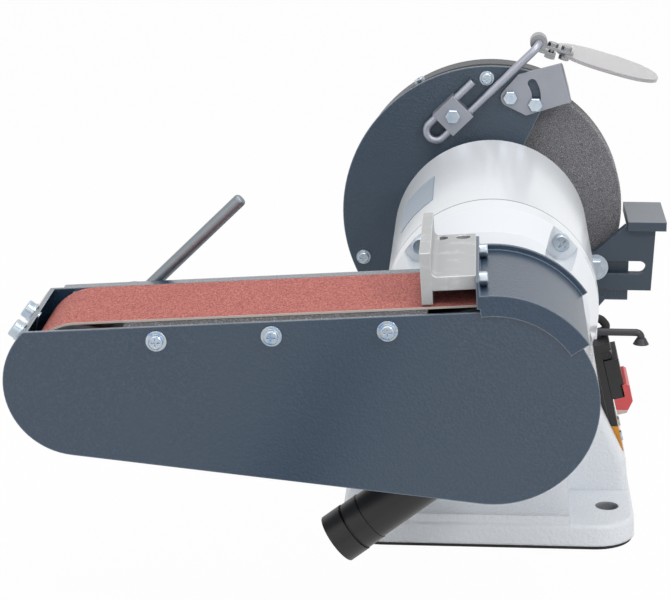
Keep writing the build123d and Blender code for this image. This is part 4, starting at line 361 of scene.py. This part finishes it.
def hammered_paint(name, colour, crest, edge, width, radius, index=1.5, coat=0.0, rough=0.32):
    """Blue-grey paint with shallow hammer marks, lighter crests, painted glints in painted sheen patches, and
    edges lightened as worn paint and as a painted edge highlight.
    """
    f = Finish(name)
    marks = f.cells(width, "SMOOTH_F1")
    fine = f.noise(width / 4, 3.0)
    cloud = f.noise(0.09, 2.0)
    rounded, rim = f.soft_edges(radius)
    # painted sheen: a slow cloud stands for where the lamps' reflection shows the hammer marks, so their
    # colour contrast is strong inside it and weak outside
    painted_sheen_patches = cloud.between(0.46, 0.62)
    grain = (marks * 0.5 + fine * 0.5).between(0.25, 0.8)
    fleck_and_sheen = grain * (0.3 + 0.7 * painted_sheen_patches) + (0.35 - 0.35 * painted_sheen_patches)
    body = f.mix(fleck_and_sheen, tint(colour, 0.95), crest)
    body = f.mix(cloud * 0.3, body, tint(colour, 0.88))
    # painted glints: small cells lighter than the crests, shown only inside the painted sheen patches
    painted_glint = f.shades(width * 0.7).between(0.72, 0.8)
    body = f.mix(painted_glint * painted_sheen_patches * 0.3, body, tint(crest, 1.3))
    # edges lightened towards the edge colour: partly worn paint, partly a painted highlight along the rims
    f.set(Base_Color=f.mix(rim * (0.45 + 0.5 * fine), body, edge), Roughness=rough + 0.16 * fine,
          Normal=f.bump(marks * 0.7 + fine * 0.3, 0.8, 0.0005, rounded))
    return f.set(IOR=index, Coat_Weight=coat, Coat_Roughness=0.16)


def abrasive_cloth(name, dark, light, backing, width, edge):
    """Sanding belt: bonded grains of mixed shade, and pale backing along its ragged near edge."""
    f = Finish(name)
    grey = f.shades(width)
    lumps = f.noise(width * 2.5, 3.0)
    streak = f.noise(0.02, 2.0, stretch=(0.3, 4.0, 0.3))
    y = f.axes()[1]
    ragged = f.noise(0.0016, 3.0)
    pale = 1.0 - (y - ragged * 0.0007).between(edge - 0.0001, edge + 0.0003)
    body = f.mix((grey * 0.7 + lumps * 0.3).between(0.22, 0.74), dark, light)
    body = f.mix(streak * 0.2, body, tint(dark, 0.85))
    f.set(Base_Color=f.mix(pale, body, backing), Roughness=0.82 - 0.1 * grey,
          Normal=f.bump(grey * 0.6 + lumps * 0.4, 0.45, 0.0003))
    return f.set(IOR=1.45)


def graphite_cloth(name, dark, speck):
    """Canvas coated with graphite: dark weave with pale worn specks."""
    f = Finish(name)
    x, y, _ = f.axes()
    weave = (x * WEAVE_RATE).math("SINE") * (y * WEAVE_RATE).math("SINE") * 0.5 + 0.5
    worn = f.noise(0.0011, 3.0).between(0.55, 0.68)
    f.set(Base_Color=f.mix(worn, dark, speck), Roughness=0.5 + 0.25 * weave,
          Normal=f.bump(weave, 0.4, 0.0002))
    return f.set(IOR=1.5)


def casting(name, bare, dull, radius):
    """Cast aluminium: grainy dull skin with corners rubbed bright."""
    f = Finish(name)
    sand = f.noise(0.0009, 4.0, 0.65)
    stain = f.noise(0.012, 3.0)
    rounded, rim = f.soft_edges(radius)
    rub = (rim + stain.between(0.5, 0.75) * 0.35).clamp()
    f.set(Base_Color=f.mix(rub, f.mix(sand, tint(dull, 0.85), dull), bare), Metallic=0.45 + 0.4 * rub,
          Roughness=0.55 - 0.18 * rub + 0.1 * sand, Normal=f.bump(sand, 0.22, 0.0004, rounded))
    return f.set(IOR=1.5)


def plated(name, colour, radius, gloss=0.26, blue=0.0):
    """Zinc or bare steel plate: faint clouding, fine scratches, bright corners and a blue bloom."""
    f = Finish(name)
    cloud = f.noise(0.004, 3.0)
    scratch = f.noise(0.0016, 2.0, stretch=(1.0, 1.0, 14.0))
    rounded, rim = f.soft_edges(radius)
    bloom = f.noise(0.0035, 2.0).between(0.45, 0.7)
    body = f.mix(cloud, tint(colour, 0.8), colour)
    body = f.mix(bloom * blue, body, BLUE_BLOOM)
    f.set(Base_Color=f.mix(rim, body, tint(colour, 1.2)), Metallic=1.0,
          Roughness=gloss + 0.14 * cloud + 0.06 * scratch, Normal=f.bump(scratch, 0.06, 0.0002, rounded))
    return f.material


def turned_steel(name, colour, pitch=0.0006):
    """Turned or ground steel with fine tool rings along the shaft."""
    f = Finish(name)
    rings = (f.axes()[1] * (2 * np.pi / pitch)).math("SINE") * 0.5 + 0.5
    cloud = f.noise(0.006, 3.0)
    f.set(Base_Color=f.mix(cloud, tint(colour, 0.82), colour), Metallic=1.0,
          Roughness=0.26 + 0.1 * rings + 0.08 * cloud, Normal=f.bump(rings, 0.08, 0.0001))
    return f.material


def satin_plate(name, colour, radius):
    """Satin grey sheet metal with faint rolling marks and bright edges."""
    f = Finish(name)
    roll = f.noise(0.003, 3.0, stretch=(1.0, 1.0, 6.0))
    cloud = f.noise(0.02, 2.0)
    rounded, rim = f.soft_edges(radius)
    body = f.mix(cloud * 0.6 + roll * 0.4, tint(colour, 0.86), tint(colour, 1.06))
    f.set(Base_Color=f.mix(rim * 0.7, body, tint(colour, 1.45)), Metallic=0.55, Roughness=0.36 + 0.12 * roll,
          Normal=f.bump(roll, 0.05, 0.0002, rounded))
    return f.set(IOR=1.5)


def bonded_wheel(name, dark, light, width):
    """Vitrified wheel: packed grains of mixed grey, open pores and a lighter dressed rim."""
    f = Finish(name)
    shade = f.shades(width)
    gaps = f.cells(width, "DISTANCE_TO_EDGE").between(0.0, 0.25)
    lumps = f.noise(width * 4, 3.0)
    dressed = f.from_shaft().between(WHEEL_R - 0.002, WHEEL_R - 0.0004)
    body = f.mix(shade * 0.7 + lumps * 0.3, dark, light)
    body = f.mix(dressed * 0.6, body, tint(light, 1.5))
    f.set(Base_Color=f.mix(1.0 - gaps, body, tint(dark, 0.6)), Roughness=0.93 - 0.08 * shade,
          Normal=f.bump(gaps * 0.5 + shade * 0.5, 0.6, 0.0005))
    return f.set(IOR=1.45)


def rest_finish(name, paint, table, radius):
    """Tool rest: dark paint below, a table rubbed to bare grey and corners worn through."""
    f = Finish(name)
    z = f.axes()[2]
    sand = f.noise(0.0012, 4.0)
    streak = f.noise(0.004, 3.0, stretch=(8.0, 1.0, 1.0))
    rounded, rim = f.soft_edges(radius)
    top = (z - sand * 0.0002).between(REST_TOP - 0.0005, REST_TOP - 0.0002)
    rub = (top + rim * 0.7 * sand.between(0.35, 0.6)).clamp()
    ground = f.mix(streak, tint(table, 0.85), table)
    f.set(Base_Color=f.mix(rub, f.mix(sand, tint(paint, 0.85), paint), ground), Metallic=0.5 * rub,
          Roughness=0.48 - 0.08 * rub + 0.08 * sand, Normal=f.bump(sand, 0.18, 0.0004, rounded))
    return f.set(IOR=1.5)


def moulding(name, colour, radius, gloss):
    """Moulded plastic: fine spark-eroded skin, faint flow marks and soft corners."""
    f = Finish(name)
    grain = f.noise(MOULD_SKIN, 3.0)
    flow = f.noise(0.015, 2.0)
    rounded, rim = f.soft_edges(radius)
    body = f.mix(flow, tint(colour, 0.88), tint(colour, 1.08))
    f.set(Base_Color=f.mix(rim * 0.5, body, tint(colour, 1.5)), Roughness=gloss + 0.12 * grain,
          Normal=f.bump(grain, 0.10, 0.0003, rounded))
    return f.set(IOR=1.5)


def two_tone(name, low, high, split, radius, gloss):
    """Moulded plastic that changes colour at a height."""
    f = Finish(name)
    grain = f.noise(0.0009, 3.0)
    flow = f.noise(0.012, 2.0)
    rounded, rim = f.soft_edges(radius)
    body = f.mix(f.axes()[2].between(split - 0.0002, split + 0.0002), low, high)
    shaded = f.mix(flow * 0.3, body, BLACK)
    f.set(Base_Color=f.mix(rim * 0.35, shaded, RUBBED_PLASTIC), Roughness=gloss + 0.12 * grain,
          Normal=f.bump(grain, 0.10, 0.0003, rounded))
    return f.set(IOR=1.5)


def rubber(name, colour):
    """Matt black rubber with a fine dusty bloom."""
    f = Finish(name)
    grain = f.noise(0.0008, 4.0)
    bloom = f.noise(0.01, 3.0)
    dusty = f.mix(bloom * 0.5 + grain * 0.3, colour, tint(colour, 1.9))
    f.set(Base_Color=dusty, Roughness=0.75 + 0.15 * grain, Normal=f.bump(grain, 0.2, 0.0003))
    return f.set(IOR=1.5)


def clear_sheet(name, colour, edge, clear):
    """Clear sheet with fine wiping haze and a tinted cut edge."""
    f = Finish(name)
    haze = f.noise(0.012, 4.0, stretch=(1.0, 5.0, 1.0))
    rounded, rim = f.soft_edges(0.0012)
    f.set(Base_Color=f.mix(rim * 0.8, colour, edge), Roughness=0.06 + 0.1 * haze, Normal=rounded)
    return f.set(Transmission_Weight=clear, IOR=1.3)


def windings(name, colour):
    """Varnished wire laid in bundles round the shaft."""
    f = Finish(name)
    around = (f.from_shaft() * WEAVE_RATE).math("SINE") * 0.5 + 0.5
    patch = f.noise(0.006, 3.0)
    f.set(Base_Color=f.mix(patch, tint(colour, 0.7), colour), Metallic=0.35, Roughness=0.3 + 0.2 * around,
          Normal=f.bump(around, 0.5, 0.0004))
    return f.material


def dress(material, *names):
    """Puts a material on every slot of the named nodes."""
    for name in names:
        node = NODES[name]
        if not node.material_slots:
            node.data.materials.append(material)
        for slot in node.material_slots:
            slot.material = material


def shell_patch(radius, thick, near, far, start, end, corner):
    """Closed plate wrapped on the motor shell.

    A point at u along the plate and v round it lies at radius r, angle start + v (end - start) and place
    near + u (far - near). The outline's corners are rounded by pulling u in near both ends of v.
    """
    u, v = np.meshgrid(np.linspace(0.0, 1.0, 33), np.linspace(0.0, 1.0, 25), indexing="ij")
    height = radius * np.radians(end - start)
    from_end = np.minimum(v, 1.0 - v) * height
    reach = np.clip(corner - from_end, 0.0, None)
    pull = corner - np.sqrt(np.clip(corner**2 - reach**2, 0.0, None))
    along = near + pull + u * (far - near - 2 * pull)
    turn = np.radians(start + v * (end - start))
    sheets = []
    for r in (radius, radius + thick):
        sheet = np.stack((r * np.cos(turn), along, SHAFT_Z + r * np.sin(turn)), axis=-1)
        sheets.append(sheet.reshape(-1, 3))
    grid = np.arange(u.size).reshape(u.shape)
    corners = (grid[:-1, :-1], grid[1:, :-1], grid[1:, 1:], grid[:-1, 1:])
    quads = np.stack(corners, axis=-1).reshape(-1, 4)
    border = np.concatenate((grid[:, 0], grid[-1, 1:], grid[-2::-1, -1], grid[0, -2:0:-1]))
    following = np.roll(border, -1)
    walls = np.stack((border, following, following + u.size, border + u.size), axis=-1)
    return np.concatenate(sheets), np.concatenate((quads, quads[:, ::-1] + u.size, walls))


def new_piece(name, points, faces, material, body):
    """Mesh object at the origin that rides on a body."""
    mesh = bpy.data.meshes.new(name)
    mesh.from_pydata(points.tolist(), [], faces.tolist())
    mesh.polygons.foreach_set("use_smooth", np.full(len(mesh.polygons), True))
    mesh.materials.append(material)
    mesh.update()
    piece = bpy.data.objects.new(name, mesh)
    bpy.context.scene.collection.objects.link(piece)
    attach(piece, body)


class Dresser(bpy.types.Operator):
    """Shared parts of the operators that finish pieces."""

    bl_options = {"REGISTER", "UNDO"}

    def execute(self, context):
        self.dress(context.scene.grinder_colours, context.scene.grinder_sizes)
        return {"FINISHED"}


class GRINDER_OT_castings(Dresser):
    """Paints the base, the motor shell and its bells"""

    bl_idname = "grinder.castings"
    bl_label = "White castings"

    def dress(self, c, s):
        base = enamel("base_enamel", c.enamel, s.peel, radius=0.0026, pebble=0.8,
                      mark=bench_holes, mark_colour=c.hole_shade)
        motor = enamel("motor_enamel", c.enamel, s.peel * 4.0, radius=0.0012, pebble=0.04,
                       mark=shell_joint, mark_colour=c.seam)
        dress(base, "base_casting")
        dress(motor, "motor_shell", "near_bell", "far_bell")
        dress(rubber("pad_rubber", c.rubber), "base_pad")


class GRINDER_OT_plate(Dresser):
    """Adds the blank plate on the motor shell"""

    bl_idname = "grinder.plate"
    bl_label = "Blank plate"

    def dress(self, c, s):
        points, faces = shell_patch(SHELL_R, s.label_t, s.label_back, s.label_front,
                                    s.label_start, s.label_end, s.label_corner)
        finish = satin_plate("blank_plate_finish", c.label, radius=0.0003)
        new_piece("blank_plate", points, faces, finish, "base")


class GRINDER_OT_belt_arm(Dresser):
    """Paints the belt housing and finishes its castings"""

    bl_idname = "grinder.belt_arm"
    bl_label = "Belt arm"

    def dress(self, c, s):
        colours = (c.housing, c.housing_light, c.hammered_edge_wear_and_highlight)
        housing = hammered_paint("housing_paint", *colours, s.hammer, radius=0.0011, rough=0.06, coat=0.6)
        hood = hammered_paint("hood_paint", *colours, s.hammer, radius=0.0014, coat=0.3)
        dress(housing, "belt_tray", "belt_cover")
        dress(hood, "hood")
        dress(casting("arm_casting", c.casting, c.casting_dull, 0.0009), "arm_hub", "work_stop")
        dress(turned_steel("wheel_alloy", c.casting), "drive_wheel", "idler_roller")
        dress(rubber("tyre_rubber", c.rubber), "drive_tyre")
        dress(moulding("port_moulding", c.moulding, 0.0006, 0.34), "dust_port", "dust_adapter")


class GRINDER_OT_belt(Dresser):
    """Finishes the sanding belt, the platen and its graphite cloth"""

    bl_idname = "grinder.belt"
    bl_label = "Sanding belt"

    def dress(self, c, s):
        grit = abrasive_cloth("belt_grit", c.grit_dark, c.grit_light, c.backing, s.grit, BELT_EDGE)
        dress(grit, "sanding_belt")
        dress(graphite_cloth("platen_cloth", c.graphite, c.graphite_speck), "graphite_pad")
        dress(turned_steel("platen_steel", c.steel, 0.0009), "platen")


class GRINDER_OT_tension(Dresser):
    """Finishes the tension carriage, its lever and the shafts"""

    bl_idname = "grinder.tension"
    bl_label = "Tension and shafts"

    def dress(self, c, s):
        dress(plated("lever_zinc", tint(c.zinc, 0.5), 0.0008, 0.34), "tension_lever")
        dress(turned_steel("shaft_steel", c.steel), "motor_shaft", "idler_axle", "motor_bearings",
              "idler_bearings", "carriage_guides", "tension_spring")
        dress(plated("carriage_plate", c.steel, 0.0006, 0.36), "carriage", "wheel_flanges", "shaft_nuts")


class GRINDER_OT_wheel(Dresser):
    """Finishes the grinding wheel"""

    bl_idname = "grinder.wheel"
    bl_label = "Grinding wheel"

    def dress(self, c, s):
        dress(bonded_wheel("wheel_grain", c.wheel_dark, c.wheel_light, s.grain), "grinding_wheel")


class GRINDER_OT_guard(Dresser):
    """Paints the wheel guard and finishes the tool rest and spark arrester"""

    bl_idname = "grinder.guard"
    bl_label = "Wheel guard and rest"

    def dress(self, c, s):
        plate = hammered_paint("guard_paint", c.hammered, c.hammered_light, c.hammered_edge_wear_and_highlight, s.hammer,
                               radius=0.0014, coat=0.3)
        black, crest = c.guard_black, tint(c.guard_black, 1.5)
        band = hammered_paint("guard_rim_paint", black, crest, crest, s.hammer, radius=0.0009, index=1.1)
        cover = hammered_paint("guard_cover_paint", tint(black, 1.6), tint(crest, 1.6), c.hammered, s.hammer,
                               radius=0.0009)
        dress(plate, "guard_plate")
        dress(band, "guard_band")
        dress(cover, "guard_cover")
        dress(rest_finish("rest_paint", c.rest_paint, c.rest_table, 0.0012), "tool_rest")
        dress(satin_plate("arrester_plate", c.satin_grey, 0.0006), "spark_arrester")


class GRINDER_OT_shield(Dresser):
    """Finishes the eye shield, its rod and clamps"""

    bl_idname = "grinder.shield"
    bl_label = "Eye shield"

    def dress(self, c, s):
        dress(satin_plate("clamp_block", tint(c.satin_grey, 1.05), 0.0007), "rod_clamp")
        dress(plated("rod_zinc", tint(c.satin_grey, 1.3), 0.0005, 0.34), "shield_rod")
        dress(plated("shield_chrome", tint(c.chrome, 0.5), 0.0004, 0.2), "shield_clamp")
        dress(clear_sheet("shield_clear", c.shield, c.shield_edge, 0.5), "shield_lens")


class GRINDER_OT_switch(Dresser):
    """Finishes the switch, its plate, the lamp and the cable"""

    bl_idname = "grinder.switch"
    bl_label = "Switch and lamp"

    def dress(self, c, s):
        black = moulding("switch_moulding", c.moulding, 0.0006, 0.36)
        dress(black, "switch_body", "switch_flap", "cable_glands")
        dress(two_tone("plate_amber", c.amber, c.moulding, BODY_LOW, 0.0004, 0.34), "switch_plate")
        sole = PADDLE_LOW + s.paddle_sole
        dress(two_tone("paddle_red", c.cream, c.red, sole, 0.0005, 0.24), "stop_paddle")
        dress(moulding("button_red", c.red, 0.0006, 0.28), "stop_button")
        dress(moulding("button_green", c.green, 0.0006, 0.28), "start_button")
        dress(rubber("cable_rubber", c.rubber), "motor_cable")
        dress(satin_plate("lamp_gunmetal", c.gunmetal, 0.0004), "lamp_arm")
        dress(clear_sheet("lamp_glass", c.shield, c.shield, 0.9), "lamp_lens")


class GRINDER_OT_fasteners(Dresser):
    """Plates the screws, bolts and nuts"""

    bl_idname = "grinder.fasteners"
    bl_label = "Fasteners"

    def dress(self, c, s):
        dress(plated("fastener_zinc", c.zinc, 0.0003, 0.2, 0.35), "motor_bolts", "arm_screws", "guard_screws",
              "guard_bolts", "rest_bolt", "stop_screws", "arm_clamp_bolt", "switch_screws")
        dress(plated("blue_zinc", c.zinc, 0.0004, 0.16, 0.9), "cover_screws")


class GRINDER_OT_motor_core(Dresser):
    """Finishes the motor's inner pieces"""

    bl_idname = "grinder.motor_core"
    bl_label = "Motor core"

    def dress(self, c, s):
        dress(turned_steel("lamination_stack", tint(c.steel, 0.5), 0.001), "stator_core", "rotor_core")
        dress(windings("winding_wire", c.copper), "stator_windings")


class GRINDER_OT_stage(bpy.types.Operator):
    """Sets up the camera, the floor, the lamps and the room light"""

    bl_idname = "grinder.stage"
    bl_label = "Stage"

    def execute(self, context):
        scene = context.scene
        stage = scene.grinder_stage
        scene.view_settings.view_transform = "Standard"
        self.camera(scene, stage)
        self.floor(stage)
        self.room(scene, stage)
        self.lamp("key_lamp", stage.key, size=1.4, place=(-0.9, -1.5, 1.7))
        self.lamp("fill_lamp", stage.fill, size=0.35, place=(1.0, -1.1, 1.4))
        self.lamp("top_lamp", stage.top, size=0.8, place=(0.1, -0.1, 2.0))
        self.lamp("low_lamp", stage.low, size=1.2, place=(0.45, -2.0, 0.4))
        return {"FINISHED"}

    def camera(self, scene, stage):
        data = bpy.data.cameras.new("camera")
        data.lens = stage.lens
        data.sensor_width = 36.0
        data.clip_start = 0.05
        view = bpy.data.objects.new("camera", data)
        view.location = stage.place
        view.rotation_euler = Euler((np.pi / 2 - stage.pitch, 0.0, stage.yaw))
        scene.collection.objects.link(view)
        scene.camera = view

    def seen(self, nodes):
        """1 for rays that show the background: from the camera, in gloss and through glass."""
        kinds = ("Is Camera Ray", "Is Glossy Ray", "Is Transmission Ray")
        camera, gloss, glass = [nodes.node("ShaderNodeLightPath", out=kind) for kind in kinds]
        return (camera + gloss + glass).clamp()

    def floor(self, stage):
        f = Finish("floor_white")
        f.set(Base_Color=(0.86, 0.86, 0.86), Roughness=0.9)
        x, y, _ = f.axes()
        # painted reflection: a strip of floor that stays white to the camera but is dark to glossy rays, so
        # the glossy belt housing shows a dark band
        across = x - stage.shade_x + (y - stage.shade_y) * stage.shade_slope
        strip = across.between(-stage.shade_width, 0.0) * (1.0 - across.between(0.0, stage.shade_width))
        dark = strip * f.node("ShaderNodeLightPath", out="Is Glossy Ray") * stage.shade_depth
        white = f.node("ShaderNodeEmission", inputs={"Color": f.mix(dark, WHITE, BLACK), "Strength": 1.0})
        lit = Value(f, f.shader.outputs[0])
        shown = f.node("ShaderNodeMixShader", inputs={0: self.seen(f) * FLOOR_SHOWN, 1: lit, 2: white})
        f.feed(f.tree.nodes["Material Output"].inputs["Surface"], shown)
        half = stage.floor / 2
        corners = [(-half, -half, 0), (half, -half, 0), (half, half, 0), (-half, half, 0)]
        mesh = bpy.data.meshes.new("floor")
        mesh.from_pydata(corners, [], [(0, 1, 2, 3)])
        mesh.materials.append(f.material)
        ground = bpy.data.objects.new("floor", mesh)
        ground.location.z = -FLOOR_DROP
        bpy.context.scene.collection.objects.link(ground)

    def room(self, scene, stage):
        world = bpy.data.worlds.new("room")
        world.use_nodes = True
        scene.world = world
        nodes = Nodes(world.node_tree)
        light = nodes.tree.nodes["Background"]
        nodes.feed(light.inputs["Color"], WHITE)
        nodes.feed(light.inputs["Strength"], self.seen(nodes) * (1.0 - stage.ambient) + stage.ambient)

    def lamp(self, name, power, size, place):
        data = bpy.data.lights.new(name, "AREA")
        data.energy = power
        data.size = size
        lamp = bpy.data.objects.new(name, data)
        lamp.location = place
        aim = Vector(LAMP_AIM) - lamp.location
        lamp.rotation_euler = aim.to_track_quat("-Z", "Y").to_euler()
        bpy.context.scene.collection.objects.link(lamp)


PIECES = (GRINDER_OT_castings, GRINDER_OT_plate, GRINDER_OT_belt_arm, GRINDER_OT_belt, GRINDER_OT_tension,
          GRINDER_OT_wheel, GRINDER_OT_guard, GRINDER_OT_shield, GRINDER_OT_switch, GRINDER_OT_fasteners,
          GRINDER_OT_motor_core)


class GRINDER_PT_panel(bpy.types.Panel):
    """Lists the finishing steps and their settings"""

    bl_idname = "GRINDER_PT_panel"
    bl_label = "Bench grinder"
    bl_space_type = "VIEW_3D"
    bl_region_type = "UI"
    bl_category = "Grinder"

    def draw(self, context):
        for step in (GRINDER_OT_stage, *PIECES):
            self.layout.operator(step.bl_idname)
        scene = context.scene
        for group in (scene.grinder_colours, scene.grinder_sizes, scene.grinder_stage):
            box = self.layout.box()
            for key in group.__annotations__:
                box.prop(group, key)


CLASSES = (GRINDER_PG_colours, GRINDER_PG_sizes, GRINDER_PG_stage, *PIECES,
           GRINDER_OT_stage, GRINDER_PT_panel)


def register():
    for cls in CLASSES:
        bpy.utils.register_class(cls)
    bpy.types.Scene.grinder_colours = bpy.props.PointerProperty(type=GRINDER_PG_colours)
    bpy.types.Scene.grinder_sizes = bpy.props.PointerProperty(type=GRINDER_PG_sizes)
    bpy.types.Scene.grinder_stage = bpy.props.PointerProperty(type=GRINDER_PG_stage)


def unregister():
    del bpy.types.Scene.grinder_stage
    del bpy.types.Scene.grinder_sizes
    del bpy.types.Scene.grinder_colours
    for cls in reversed(CLASSES):
        bpy.utils.unregister_class(cls)


def main():
    register()
    bpy.ops.grinder.stage()
    for step in PIECES:
        group, name = step.bl_idname.split(".")
        getattr(getattr(bpy.ops, group), name)()


if __name__ == "__main__":
    main()
